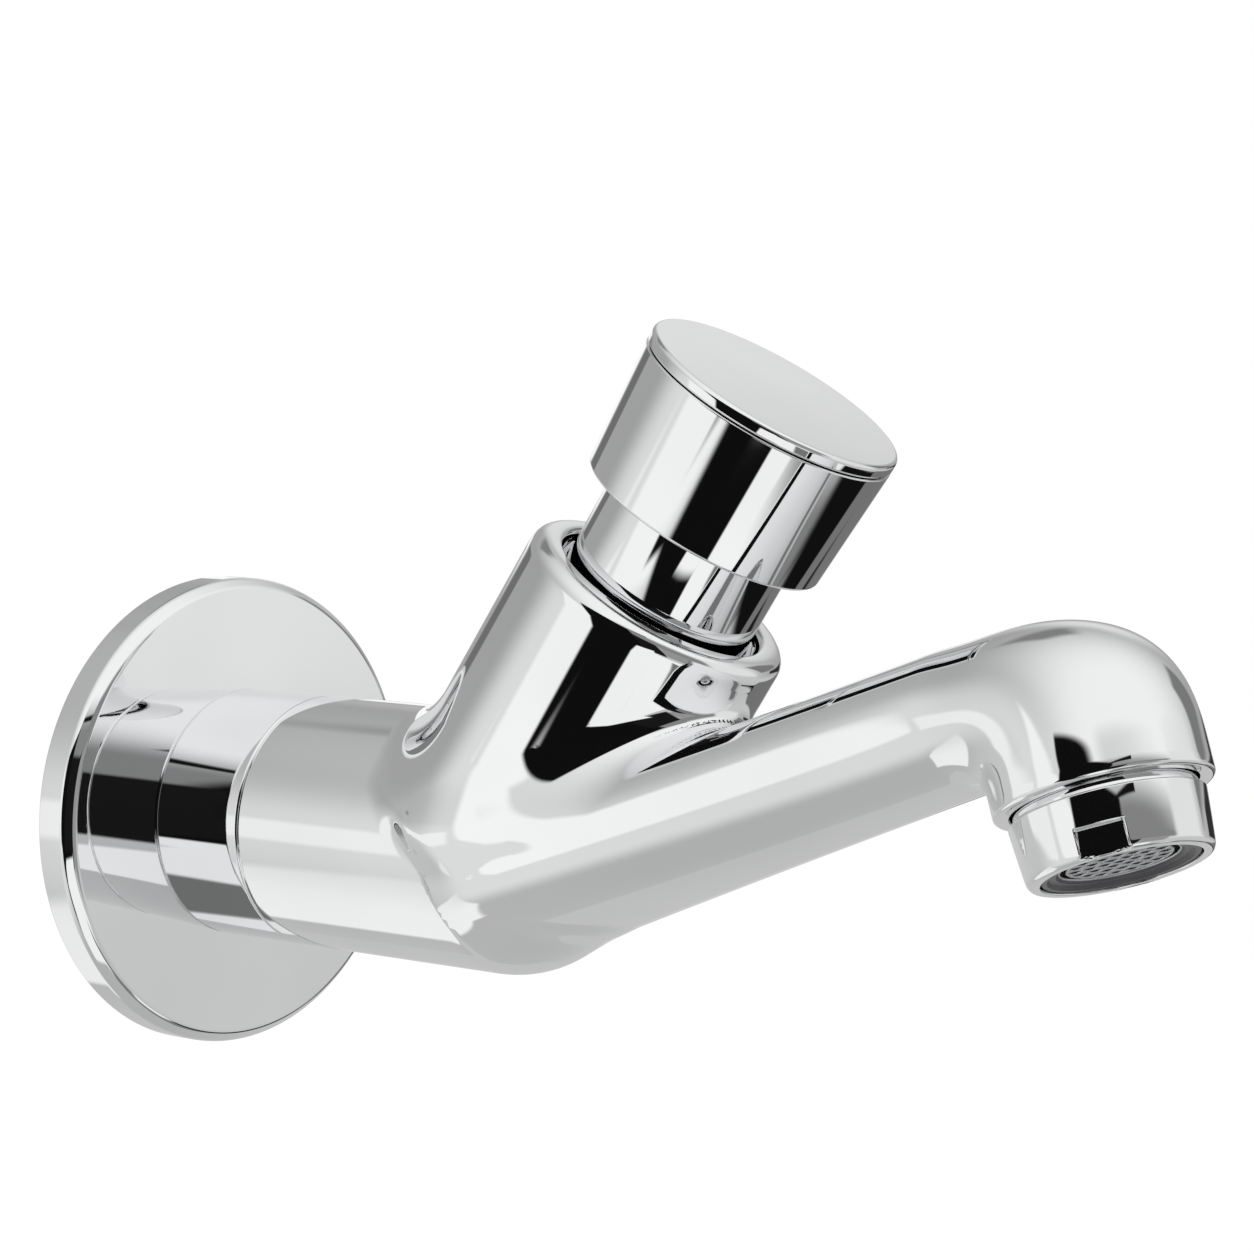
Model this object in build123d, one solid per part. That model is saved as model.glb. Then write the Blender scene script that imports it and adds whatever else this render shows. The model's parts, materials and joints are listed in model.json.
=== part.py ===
from build123d import *
import math
import os

# Push timed tap. The wall is the plane Y = 0 and the tap stands out from it towards -Y, +Z is up.
# The origin is where the inlet axis passes the wall. All lengths are in millimetres.

# Clearances and cuts
slip = 0.05
soft_gap = 0.3
overrun = 1.0
chamfer_size = 0.4

# Inlet side, measured out from the wall along the inlet axis
flange_radius = 35.0
flange_rim = 5.0
flange_bevel = 1.3
flange_face = 7.1
flange_skin = 2.4
flange_groove_inner = 26.0
flange_groove_outer = 32.0
gasket_thickness = 2.0
collar_radius = 18.5
collar_length = 17.0
spigot_radius = 14.9
spigot_start = 14.0
collar_ring_wire = 1.0

# Nipple with its G1/2 thread
thread_radius = 10.478
thread_pitch = 1.814
thread_depth = 1.162
thread_crest = 0.3
thread_length = 14.0
thread_rings = 7
shank_radius = 9.8
nipple_bore = 6.5
nipple_shoulder = 25.0
nipple_shoulder_length = 4.0
nipple_end = 34.0
washer_thickness = 1.5
strainer_rim_radius = 8.4
strainer_rim_thickness = 1.2
strainer_wall = 0.6
strainer_length = 12.0
strainer_hole = 0.9
strainer_rows = 3
strainer_columns = 8

# Tower, which leans forward from the vertical
tower_foot = 62.4
tower_lean = 30.7
tower_radius = 19.6
tower_height = 43.2
tower_blend_height = 14.0
tower_edge = 2.4
mouth_radius = 15.3
mouth_depth = 5.2
mouth_edge = 0.8

# Spout, which rises from the elbow and turns down at its head
spout_rise = 21.0
outlet_tilt = 22.8
outlet_reach = 161.35
outlet_height = 13.4
outlet_radius = 14.4
outlet_gap = 1.2
outlet_edge = 0.7
outlet_neck = 3.2
head_corner = 4.0
spout_half_height = 9.2
elbow_half_height = 9.8
spout_half_width = 12.5
elbow_half_width = 18.0
head_bulge = 0.65
head_skew = -0.65
spout_roundness = 2.5
section_points = 16
straight_shares = (0, 0.2, 0.4, 0.6, 0.8, 1)
head_shares = (0.17, 0.33, 0.5, 0.67, 0.83, 1)

# Waterway in the spout: each row is the share along the spout, the share of the half height that
# it lies below the spout's middle, and the shares of the half height and half width that it fills
waterway_shares = ((0, 0, 0.34, 0.33), (0.18, 0.38, 0.36, 0.42), (0.55, 0, 0.62, 0.62), (1, 0, 0.62, 0.62))
waterway_outlet_radius = 8.5
passage_radius = 4.5

# Timed cartridge, heights along the tower axis from the inlet axis
chamber_bottom = -7.5
chamber_radius = 7.0
seat_level = 4.0
seat_pocket_radius = 9.0
supply_level = 8.0
supply_radius = 11.0
neck_level = 30.2
seat_bore = 4.6
seat_thickness = 2.2
seat_outer = 6.2
housing_flange = 1.5
housing_sleeve_radius = 10.0
cylinder_radius = 7.6
cover_level = 27.0
cover_plug = 1.5
window_level = 9.8
window_height = 4.4
window_width = 6.0
window_count = 4
filter_wall = 0.4
filter_hole = 0.5
filter_columns = 20
filter_rows = 3
seat_ring_wire = 0.9
cover_ring_wire = 0.9
spindle_ring_wire = 0.9

# Plunger, which the button pushes down the tower axis
travel = 6.0
spindle_radius = 4.0
stem_radius = 2.2
journal_radius = 3.0
piston_top = 24.5
piston_thickness = 4.0
piston_gap = 0.4
cup_thickness = 1.6
jet_radius = 1.2
jet_offset = 4.9
jet_bore = 0.35
disc_radius = 6.0
disc_thickness = 2.2
nut_flats = 7.0
nut_thickness = 2.0
stem_tail = 0.6
spring_wire = 1.4
spring_mean_radius = 6.6
spring_turns = 7
spring_seat_thickness = 0.8
retainer_thickness = 1.0
retainer_radius = 8.6
circlip_thickness = 0.9
circlip_radius = 5.6
circlip_depth = 0.6

# Neck and button, heights along the tower axis
neck_radius = 14.0
neck_wall = 4.5
neck_top = 61.0
neck_head = 4.0
bush_radius = 6.0
bush_flange_radius = 7.6
bush_flange = 1.0
guide_level = 57.6
guide_height = 2.0
guide_depth = 0.9
cap_bottom = 55.1
cap_seam = 73.9
cap_gap = 0.7
cap_wall = 3.2
cap_flare = 1.1
cap_rim = 3.4
cap_web = 3.0
cap_web_gap = 0.8
plate_thickness = 2.3
plate_bevel = 0.6
plate_spigot_wall = 1.6
plate_spigot_depth = 2.2
cap_washer_radius = 6.0
cap_washer_thickness = 0.5
cap_screw_head_radius = 4.0
cap_screw_head = 1.6
cap_screw_radius = 1.5
cap_screw_length = 8.0
cap_screw_socket = 2.5
cap_play = 0.1

# Aerator, measured down the outlet axis from the top of its ring
aerator_top_radius = 12.85
aerator_bottom_radius = 12.1
aerator_height = 8.2
aerator_edge = 0.5
aerator_mouth = 10.5
aerator_thread_radius = 12.0
aerator_thread_length = 6.0
aerator_washer_thickness = 1.6
aerator_washer_bore = 9.0
aerator_ledge = 9.6
wrench_width = 6.2
wrench_height = 3.9
wrench_depth = 0.75
wrench_turn = 155.0
insert_recess = 0.7
insert_lip_radius = 8.0
insert_top = 5.4
mesh_recess = 1.9
mesh_thickness = 0.8
mesh_pitch = 1.55
mesh_web = 0.35
jet_disc_thickness = 1.4
jet_disc_hole = 0.6
jet_disc_count = 16
jet_disc_ring = 6.6
flow_ring_wire = 0.8
flow_ring_radius = 4.0


def heading(rise):
    """Unit vector that points out from the wall and up by the given angle."""
    return Vector(0, -math.cos(math.radians(rise)), math.sin(math.radians(rise)))


def inlet_frame(out):
    """Plane across the inlet axis, at a distance out from the wall."""
    return Plane(origin=(0, -out, 0), x_dir=(1, 0, 0), z_dir=(0, -1, 0))


tower_axis = Vector(0, -math.sin(math.radians(tower_lean)), math.cos(math.radians(tower_lean)))
outlet_axis = Vector(0, -math.sin(math.radians(outlet_tilt)), -math.cos(math.radians(outlet_tilt)))
tower_frame = Plane(origin=(0, -tower_foot, 0), x_dir=(1, 0, 0), z_dir=tower_axis)
outlet_frame = Plane(origin=(0, -outlet_reach, outlet_height), x_dir=(1, 0, 0), z_dir=outlet_axis)


def turned(*points):
    """Solid turned about Z from an outline of radius and height pairs."""
    outline = Polyline(*[(radius, 0, height) for radius, height in points], close=True)
    return revolve(make_face(outline), Axis.Z)


def rod(radius, low, high):
    """Round bar about Z between two heights."""
    return Pos(0, 0, low) * Cylinder(radius, high - low, align=(Align.CENTER, Align.CENTER, Align.MIN))


def tube(outer, inner, low, high):
    """Round tube about Z between two heights."""
    return rod(outer, low, high) - rod(inner, low - overrun, high + overrun)


def ring(middle, wire, height):
    """O-ring about Z."""
    return Pos(0, 0, height) * Torus(middle, wire)


def save(shape, name):
    """Write one piece to its STEP file."""
    export_step(shape, f"parts/{name}.step")


# Spout sections

def smooth(share):
    """Rise from 0 to 1 with level ends."""
    return share * share * (3 - 2 * share)


rim_centre = Vector(0, -outlet_reach, outlet_height) - outlet_axis * outlet_gap
across_outlet = Vector(0, -math.cos(math.radians(outlet_tilt)), math.sin(math.radians(outlet_tilt)))
head_pivot = rim_centre - outlet_axis * outlet_neck - across_outlet * (outlet_radius + head_corner)
head_turn = 90 - outlet_tilt + spout_rise
spout_up = Vector(0, math.sin(math.radians(spout_rise)), math.cos(math.radians(spout_rise)))
head_start = head_pivot + spout_up * (head_corner + spout_half_height)
spout_run = (-tower_foot - head_start.Y) / math.cos(math.radians(spout_rise))


def section(centre, rise, half_width, half_height, roundness):
    """Closed face of one rounded section, square to its heading."""
    points = []
    for number in range(section_points):
        angle = 2 * math.pi * number / section_points
        across, up = math.cos(angle), math.sin(angle)
        across = math.copysign(abs(across) ** (2 / roundness), across)
        up = math.copysign(abs(up) ** (2 / roundness), up)
        points.append((half_width * across, half_height * up))
    frame = Plane(origin=centre, x_dir=(1, 0, 0), z_dir=heading(rise))
    return frame * make_face(Spline(*points, periodic=True))


def run_through(faces):
    """Solid that joins neighbouring sections one pair at a time, so that none is turned over."""
    spans = [loft([near, far], ruled=True) for near, far in zip(faces, faces[1:])]
    return spans[0].fuse(*spans[1:])


def straight_half_sizes(share):
    """Half width and half height of the spout at a share of its straight run."""
    width = spout_half_width + (elbow_half_width - spout_half_width) * (1 - share) ** 2
    return width, elbow_half_height + (spout_half_height - elbow_half_height) * share


def head_half_sizes(share):
    """Half width and half height at a share of the turn of the head."""
    rise = smooth(share)
    width = spout_half_width + (outlet_radius - spout_half_width) * rise
    height = spout_half_height + (outlet_radius - spout_half_height) * rise
    height += head_bulge * math.sin(math.pi * share) + head_skew * math.sin(2 * math.pi * share)
    return width, height


def spout_solid():
    """The spout's outside, from inside the elbow to the rim of the outlet."""
    faces = []
    for share in straight_shares:
        width, height = straight_half_sizes(share)
        centre = head_start - heading(spout_rise) * (spout_run * (1 - share))
        faces.append(section(centre, spout_rise, width, height, spout_roundness))
    for share in head_shares:
        width, height = head_half_sizes(share)
        rise = spout_rise - head_turn * share
        up = Vector(0, math.sin(math.radians(rise)), math.cos(math.radians(rise)))
        roundness = spout_roundness + (2 - spout_roundness) * smooth(share)
        faces.append(section(head_pivot + up * (head_corner + height), rise, width, height, roundness))
    down = outlet_tilt - 90
    edge = outlet_radius - outlet_edge
    faces.append(section(rim_centre - outlet_axis * outlet_edge, down, outlet_radius, outlet_radius, 2))
    faces.append(section(rim_centre, down, edge, edge, 2))
    return run_through(faces)


def waterway_solid():
    """The cored hollow of the spout, from under the seat to above the aerator."""
    faces = []
    for share, drop, high, wide in waterway_shares:
        width, height = straight_half_sizes(share)
        centre = head_start - heading(spout_rise) * (spout_run * (1 - share)) - spout_up * (height * drop)
        faces.append(section(centre, spout_rise, width * wide, height * high, 2))
    first_height = spout_half_height * waterway_shares[-1][2]
    first_width = spout_half_width * waterway_shares[-1][3]
    for share in head_shares:
        width, height = head_half_sizes(share)
        rise = spout_rise - head_turn * share
        up = Vector(0, math.sin(math.radians(rise)), math.cos(math.radians(rise)))
        inner_width = first_width + (waterway_outlet_radius - first_width) * share
        inner_height = first_height + (waterway_outlet_radius - first_height) * share
        faces.append(section(head_pivot + up * (head_corner + height), rise, inner_width, inner_height, 2))
    return run_through(faces)


# Body casting

body_start = flange_face + collar_length
aerator_bore = aerator_thread_radius + slip
aerator_seat = -aerator_thread_length - aerator_washer_thickness


def tap_body():
    """One casting: barrel, leaning tower and spout, cored and bored."""
    corner = collar_radius * math.sqrt(0.5)
    outline = [
        Polyline((0, tower_foot + collar_radius), (0, body_start), (collar_radius, body_start),
                 (collar_radius, tower_foot)),
        ThreePointArc((collar_radius, tower_foot), (corner, tower_foot + corner),
                      (0, tower_foot + collar_radius))]
    barrel = inlet_frame(0) * revolve(Plane.XZ * make_face(outline), Axis.Z)
    blank = turned(
        (0, 0), (collar_radius - chamfer_size, 0), (tower_radius, tower_blend_height),
        (tower_radius, tower_height), (0, tower_height))
    tower = tower_frame * fillet(blank.edges().filter_by(GeomType.CIRCLE).sort_by(Axis.Z)[-1], tower_edge)
    shell = barrel + tower + spout_solid()
    spigot = inlet_frame(0) * rod(spigot_radius, spigot_start, body_start + overrun)
    groove = inlet_frame(0) * ring(spigot_radius, collar_ring_wire + slip, (spigot_start + body_start) / 2)
    inlet_bore = inlet_frame(0) * rod(shank_radius + slip, spigot_start - overrun, nipple_end + slip)
    bores = tower_frame * (
        rod(chamber_radius, chamber_bottom, seat_level + overrun)
        + rod(seat_pocket_radius, seat_level, supply_level + overrun)
        + rod(supply_radius, supply_level, neck_level + overrun)
        + rod(neck_radius + slip, neck_level, tower_height)
        + rod(mouth_radius, tower_height - mouth_depth, tower_height)
        + turned((0, tower_height - mouth_edge), (mouth_radius, tower_height - mouth_edge),
                 (mouth_radius + mouth_edge + overrun, tower_height + overrun), (0, tower_height + overrun)))
    outlet = outlet_frame * rod(aerator_bore, aerator_seat, overrun)
    return shell + spigot - groove - inlet_bore - passage() - bores - outlet - waterway_solid()


def passage():
    """The cored passage that rises from the inlet bore to the chamber round the cartridge."""
    back = Vector(0, tower_axis.Z, -tower_axis.Y)
    start = Vector(0, -nipple_end + overrun, 0)
    window_middle = window_level + window_height / 2
    end = Vector(0, -tower_foot, 0) + tower_axis * window_middle + back * (supply_radius - overrun)
    run = end - start
    frame = Plane(origin=start, x_dir=(1, 0, 0), z_dir=run)
    return frame * rod(passage_radius, 0, run.length)


# Wall side pieces

def wall_flange():
    """Round cover plate with a gasket groove and a hollow back."""
    hollow = flange_face - flange_skin
    face = turned(
        (thread_radius + soft_gap, 0), (flange_radius, 0), (flange_radius, flange_rim),
        (flange_radius - flange_bevel, flange_rim + flange_bevel),
        (collar_radius, flange_face), (thread_radius + soft_gap, flange_face))
    groove = tube(flange_groove_outer, flange_groove_inner, -overrun, gasket_thickness)
    back = rod(flange_groove_inner - flange_skin, -overrun, hollow)
    return inlet_frame(0) * (face - groove - back)


def flange_gasket():
    """Foam ring that fills the groove in the flange's back."""
    return inlet_frame(0) * tube(flange_groove_outer - slip, flange_groove_inner + slip, 0, gasket_thickness)


def inlet_collar():
    """Plain ring between flange and body, slid over the body's spigot."""
    blank = rod(collar_radius, flange_face, body_start)
    blank = chamfer(blank.edges().filter_by(GeomType.CIRCLE), chamfer_size)
    return inlet_frame(0) * (blank - rod(spigot_radius + slip, flange_face - overrun, body_start + overrun))


def collar_oring():
    """Ring that holds the collar on the spigot."""
    whole = ring(spigot_radius, collar_ring_wire, (spigot_start + body_start) / 2)
    return inlet_frame(0) * (whole & rod(spigot_radius, spigot_start, body_start))


def thread_grooves(first):
    """Ring grooves of the thread, the first one's middle at a height."""
    opening = thread_pitch - thread_crest
    grooves = []
    for number in range(thread_rings):
        middle = first + thread_pitch * number
        grooves.append(turned(
            (thread_radius - thread_depth, middle), (thread_radius + thread_depth, middle - opening),
            (thread_radius + thread_depth, middle + opening)))
    return grooves


def inlet_nipple():
    """Brass tailpiece: thread behind the wall, six-sided shoulder, plain end in the body."""
    shoulder_start = spigot_start - washer_thickness - nipple_shoulder_length
    root = thread_radius - thread_depth
    blank = turned(
        (nipple_bore, -thread_length), (root, -thread_length), (thread_radius, thread_depth - thread_length),
        (thread_radius, 0), (root, 0), (root, shoulder_start), (shank_radius, shoulder_start),
        (shank_radius, nipple_end - chamfer_size), (shank_radius - chamfer_size, nipple_end),
        (nipple_bore, nipple_end))
    shoulder = extrude(
        RegularPolygon(nipple_shoulder / 2, 6, major_radius=False), nipple_shoulder_length)
    shoulder -= rod(nipple_bore, -overrun, nipple_shoulder_length + overrun)
    nipple = blank + Pos(0, 0, shoulder_start) * shoulder
    for groove in thread_grooves(thread_depth - thread_length + thread_pitch / 2):
        nipple -= groove
    rim_end = strainer_rim_thickness - thread_length
    nipple -= rod(strainer_rim_radius + slip, -thread_length - overrun, rim_end)
    return inlet_frame(0) * nipple


def inlet_washer():
    """Fibre washer between the nipple's shoulder and the body."""
    outer = nipple_shoulder / 2 - slip
    return inlet_frame(0) * tube(outer, shank_radius + slip, spigot_start - washer_thickness, spigot_start)


def inlet_strainer():
    """Thimble strainer whose rim sits in the nipple's mouth."""
    start = -thread_length
    outer = nipple_bore - soft_gap
    rim = tube(strainer_rim_radius, outer - strainer_wall, start, start + strainer_rim_thickness)
    thimble = rod(outer, start, start + strainer_length)
    thimble -= rod(outer - strainer_wall, start - overrun, start + strainer_length - strainer_wall)
    strainer = rim + thimble
    step = (strainer_length - strainer_rim_thickness) / (strainer_rows + 1)
    for row in range(strainer_rows):
        level = start + strainer_rim_thickness + step * (row + 1)
        for column in range(strainer_columns):
            turn = 360 * column / strainer_columns
            hole = Rot(0, 0, turn) * Pos(outer, 0, level) * Rot(0, 90, 0) * Cylinder(strainer_hole, outer)
            strainer -= hole
    return inlet_frame(0) * strainer


# Cartridge

nose_radius = seat_pocket_radius - slip
seat_ring_level = (seat_level + supply_level) / 2
cover_ring_level = (cover_level + neck_level) / 2
spindle_ring_level = (cover_level - cover_plug + neck_level) / 2


def cartridge_housing():
    """Sleeve with the piston's cylinder, four inlet windows and the seat in its nose."""
    housing = turned(
        (cylinder_radius, supply_level + housing_flange), (seat_outer, supply_level + housing_flange),
        (seat_outer, seat_level), (nose_radius, seat_level), (nose_radius, supply_level),
        (supply_radius - slip, supply_level), (supply_radius - slip, supply_level + housing_flange),
        (housing_sleeve_radius, supply_level + housing_flange), (housing_sleeve_radius, cover_level),
        (cylinder_radius, cover_level))
    housing -= ring(nose_radius, seat_ring_wire + slip, seat_ring_level)
    for number in range(window_count):
        window = Pos(housing_sleeve_radius, 0, window_level + window_height / 2) * Box(
            supply_radius, window_width, window_height)
        housing -= Rot(0, 0, 360 * number / window_count) * window
    return tower_frame * housing


def cartridge_filter():
    """Perforated sleeve round the inlet windows."""
    inner = housing_sleeve_radius + slip
    low = supply_level + housing_flange
    high = window_level + window_height + housing_flange
    sleeve = tube(inner + filter_wall, inner, low, high)
    for row in range(filter_rows):
        level = low + (high - low) * (row + 1) / (filter_rows + 1)
        for column in range(filter_columns):
            turn = 360 * column / filter_columns
            hole = Rot(0, 0, turn) * Pos(inner, 0, level) * Rot(0, 90, 0) * Cylinder(filter_hole, inner / 2)
            sleeve -= hole
    return tower_frame * sleeve


def seat_oring():
    """Ring round the housing's nose that parts supply from outlet."""
    whole = ring(nose_radius, seat_ring_wire, seat_ring_level)
    return tower_frame * (whole & rod(nose_radius, seat_level, supply_level))


def valve_seat():
    """Seat ring pressed into the nose, its sharp edge facing down."""
    lip = seat_thickness / 4
    seat = turned(
        (seat_bore, seat_level), (seat_bore + lip, seat_level), (seat_outer - slip, seat_level + lip),
        (seat_outer - slip, seat_level + seat_thickness), (seat_bore, seat_level + seat_thickness))
    return tower_frame * seat


def chamber_cover():
    """Cover of the timing chamber, which the spindle passes through."""
    flange = rod(supply_radius - slip, cover_level, neck_level)
    low = cover_level - cover_plug
    plug = rod(cylinder_radius - slip, low, cover_level)
    cover = flange + plug - rod(spindle_radius + slip, low - overrun, neck_level + overrun)
    cover -= ring(supply_radius - slip, cover_ring_wire + slip, cover_ring_level)
    cover -= ring(spindle_radius + spindle_ring_wire + slip, spindle_ring_wire + slip, spindle_ring_level)
    return tower_frame * cover


def cover_oring():
    """Ring between the cover and the tower's bore."""
    whole = ring(supply_radius - slip, cover_ring_wire, cover_ring_level)
    return tower_frame * (whole & rod(supply_radius - slip, cover_level, neck_level))


def spindle_oring():
    """Ring that seals the spindle in the cover."""
    return tower_frame * ring(
        spindle_radius + spindle_ring_wire + slip, spindle_ring_wire, spindle_ring_level)


bush_underside = neck_top - neck_head - bush_flange
cap_bore = neck_radius + cap_gap
cap_bottom_radius = cap_bore + cap_wall
cap_seam_radius = cap_bottom_radius + cap_flare
plate_spigot_radius = cap_seam_radius - cap_rim


def neck_sleeve():
    """Chromed neck screwed into the tower, the spring's chamber inside."""
    blank = rod(neck_radius, neck_level, neck_top)
    blank = chamfer(blank.edges().filter_by(GeomType.CIRCLE), chamfer_size)
    neck = blank - rod(neck_radius - neck_wall, neck_level - overrun, neck_top - neck_head)
    neck -= rod(bush_radius + slip, neck_top - neck_head - overrun, neck_top + overrun)
    neck -= tube(neck_radius + overrun, neck_radius - guide_depth, guide_level, guide_level + guide_height)
    return tower_frame * neck


def guide_ring():
    """Split-free nylon ring in the neck's groove, on which the cap runs."""
    ring_part = tube(cap_bore - slip, neck_radius - guide_depth + slip,
                     guide_level + slip, guide_level + guide_height - slip)
    return tower_frame * ring_part


def spindle_bush():
    """Flanged bush that guides the spindle in the neck's head."""
    low = neck_top - neck_head
    sleeve = rod(bush_radius, low, neck_top)
    rim = rod(bush_flange_radius, bush_underside, low)
    bore = rod(spindle_radius + slip, bush_underside - overrun, neck_top + overrun)
    return tower_frame * (sleeve + rim - bore)


def spring_seat():
    """Washer on the cover that the spring stands on."""
    high = neck_level + spring_seat_thickness
    return tower_frame * tube(neck_radius - neck_wall - slip, spindle_radius + soft_gap, neck_level, high)


# Plunger

circlip_top = bush_underside - soft_gap
retainer_top = circlip_top - circlip_thickness
spring_top = retainer_top - retainer_thickness
spring_bottom = neck_level + spring_seat_thickness
web_bottom = neck_top + travel + cap_web_gap
web_top = web_bottom + cap_web
piston_bottom = piston_top - piston_thickness
disc_bottom = seat_level - piston_gap / 4 - disc_thickness
nut_bottom = disc_bottom - nut_thickness


def spindle():
    """Stepped rod: stem through the seat, shank in cover and bush, journal for the cap."""
    body = turned(
        (0, nut_bottom - stem_tail), (stem_radius, nut_bottom - stem_tail), (stem_radius, piston_bottom),
        (stem_radius, piston_top), (spindle_radius, piston_top), (spindle_radius, web_bottom),
        (journal_radius, web_bottom), (journal_radius, web_top + cap_play), (0, web_top + cap_play))
    body -= rod(cap_screw_radius, web_top + cap_play - cap_screw_length, web_top + cap_play + overrun)
    clip_groove = tube(spindle_radius + overrun, spindle_radius - circlip_depth, retainer_top, circlip_top)
    return tower_frame * (body - clip_groove)


def piston():
    """Piston disc on the stem, with a groove for the cup and a hole for the jet."""
    body = tube(cylinder_radius - piston_gap, stem_radius, piston_bottom, piston_top)
    body -= tube(cylinder_radius, jet_offset + jet_radius + piston_gap,
                 piston_bottom + cup_thickness, piston_bottom + 2 * cup_thickness)
    body -= Pos(jet_offset, 0, 0) * rod(jet_radius, piston_bottom - overrun, piston_top + overrun)
    return tower_frame * body


def piston_cup():
    """Lip seal in the piston's groove."""
    inner = jet_offset + jet_radius + piston_gap
    low = piston_bottom + cup_thickness
    high = low + cup_thickness
    cup = turned((inner, low), (cylinder_radius - piston_gap, low), (cylinder_radius - slip, high - slip),
                 (cylinder_radius - slip, high), (inner, high))
    return tower_frame * cup


def timing_jet():
    """Small screw with the calibrated hole that sets the time."""
    jet = rod(jet_radius, piston_bottom, piston_top) - rod(
        jet_bore, piston_bottom - overrun, piston_top + overrun)
    return tower_frame * (Pos(jet_offset, 0, 0) * jet)


def valve_disc():
    """Rubber disc under the seat."""
    return tower_frame * tube(disc_radius, stem_radius, disc_bottom, disc_bottom + disc_thickness)


def valve_nut():
    """Six-sided nut that holds the disc on the stem."""
    nut = extrude(RegularPolygon(nut_flats / 2, 6, major_radius=False), nut_thickness)
    nut -= rod(stem_radius, -overrun, nut_thickness + overrun)
    return tower_frame * (Pos(0, 0, nut_bottom) * nut)


def spring_retainer():
    """Washer on the spindle that the spring pushes up."""
    return tower_frame * tube(retainer_radius, spindle_radius + slip, spring_top, retainer_top)


def spring_circlip():
    """Clip in the spindle's groove above the retainer."""
    clip = tube(circlip_radius, spindle_radius - circlip_depth, retainer_top, circlip_top)
    clip -= Pos(circlip_radius, 0, (retainer_top + circlip_top) / 2) * Box(
        circlip_radius, spindle_radius, circlip_radius)
    return tower_frame * clip


def quarter_arcs(start, start_way, end, end_way):
    """Two tangent arcs that join two points along their headings."""
    gap = end - start
    ways = start_way + end_way
    lean = 2 * (1 - start_way.dot(end_way))
    reach = gap.dot(ways)
    step = (math.sqrt(reach * reach + lean * gap.dot(gap)) - reach) / lean
    middle = (start + end + (start_way - end_way) * step) / 2
    first = TangentArc(start, middle, tangent=start_way)
    return [first, TangentArc(middle, end, tangent=first % 1)]


def return_spring():
    """Coil spring between its seat and the retainer, an unbroken tube."""
    low = spring_bottom + spring_wire / 2
    high = spring_top - spring_wire / 2
    quarters = 4 * spring_turns
    climb = (high - low) / quarters
    slope = climb / (math.pi / 2)
    stations = []
    for number in range(quarters + 1):
        angle = math.pi / 2 * number
        place = Vector(spring_mean_radius * math.cos(angle), spring_mean_radius * math.sin(angle),
                       low + climb * number)
        way = Vector(-spring_mean_radius * math.sin(angle), spring_mean_radius * math.cos(angle), slope)
        stations.append((place, way.normalized()))
    arcs = []
    for (start, start_way), (end, end_way) in zip(stations, stations[1:]):
        arcs += quarter_arcs(start, start_way, end, end_way)
    print("least gap between the spring's turns", round(4 * climb - spring_wire, 2))
    path = Wire(arcs)
    profile = Plane(origin=stations[0][0], z_dir=stations[0][1]) * Circle(spring_wire / 2)
    return tower_frame * sweep(profile, path=path)


# Button

def push_cap():
    """Cup-shaped cap that slides over the neck, with a web that sits on the spindle."""
    blank = turned(
        (0, cap_bottom), (cap_bottom_radius, cap_bottom), (cap_seam_radius, cap_seam), (0, cap_seam))
    blank = chamfer(blank.edges().filter_by(GeomType.CIRCLE), chamfer_size)
    cap = blank - rod(cap_bore, cap_bottom - overrun, web_bottom)
    cap -= rod(plate_spigot_radius + slip, web_top, cap_seam + overrun)
    return tower_frame * (cap - rod(journal_radius + slip, web_bottom - overrun, web_top + overrun))


def button_plate():
    """Flat top plate with a bevelled edge and a ring that fits into the cap."""
    top = cap_seam + plate_thickness
    plate = turned(
        (0, cap_seam), (cap_seam_radius - chamfer_size, cap_seam),
        (cap_seam_radius, cap_seam + chamfer_size), (cap_seam_radius, top - plate_bevel),
        (cap_seam_radius - plate_bevel, top), (0, top))
    spigot = tube(plate_spigot_radius, plate_spigot_radius - plate_spigot_wall,
                  cap_seam - plate_spigot_depth, cap_seam)
    return tower_frame * (plate + spigot)


def cap_washer():
    """Washer that keeps the cap on the spindle and lets it turn."""
    low = web_top + cap_play
    return tower_frame * tube(cap_washer_radius, cap_screw_radius, low, low + cap_washer_thickness)


def cap_screw():
    """Screw down the middle of the spindle."""
    low = web_top + cap_play + cap_washer_thickness
    shank = rod(cap_screw_radius, web_top + cap_play - cap_screw_length, low)
    head = rod(cap_screw_head_radius, low, low + cap_screw_head)
    socket = extrude(RegularPolygon(cap_screw_socket / 2, 6, major_radius=False), cap_screw_head)
    return tower_frame * (shank + head - Pos(0, 0, low + cap_screw_head / 2) * socket)


# Aerator

def aerator_housing():
    """Screwed ring of the aerator, with two wrench flats at its lower edge."""
    housing = turned(
        (aerator_mouth, aerator_height), (aerator_bottom_radius - aerator_edge, aerator_height),
        (aerator_bottom_radius, aerator_height - aerator_edge), (aerator_top_radius, 0),
        (aerator_thread_radius, 0), (aerator_thread_radius, -aerator_thread_length),
        (aerator_mouth, -aerator_thread_length))
    flat_distance = aerator_bottom_radius - wrench_depth
    for turn in (wrench_turn, wrench_turn + 180):
        block = Pos(flat_distance + aerator_top_radius / 2, 0, aerator_height - wrench_height / 2) * Box(
            aerator_top_radius, wrench_width, wrench_height)
        housing -= Rot(0, 0, turn) * block
    return outlet_frame * housing


def aerator_washer():
    """Rubber washer between the housing and the shoulder in the spout."""
    return outlet_frame * tube(aerator_thread_radius - soft_gap, aerator_washer_bore,
                               aerator_seat, -aerator_thread_length)


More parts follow.
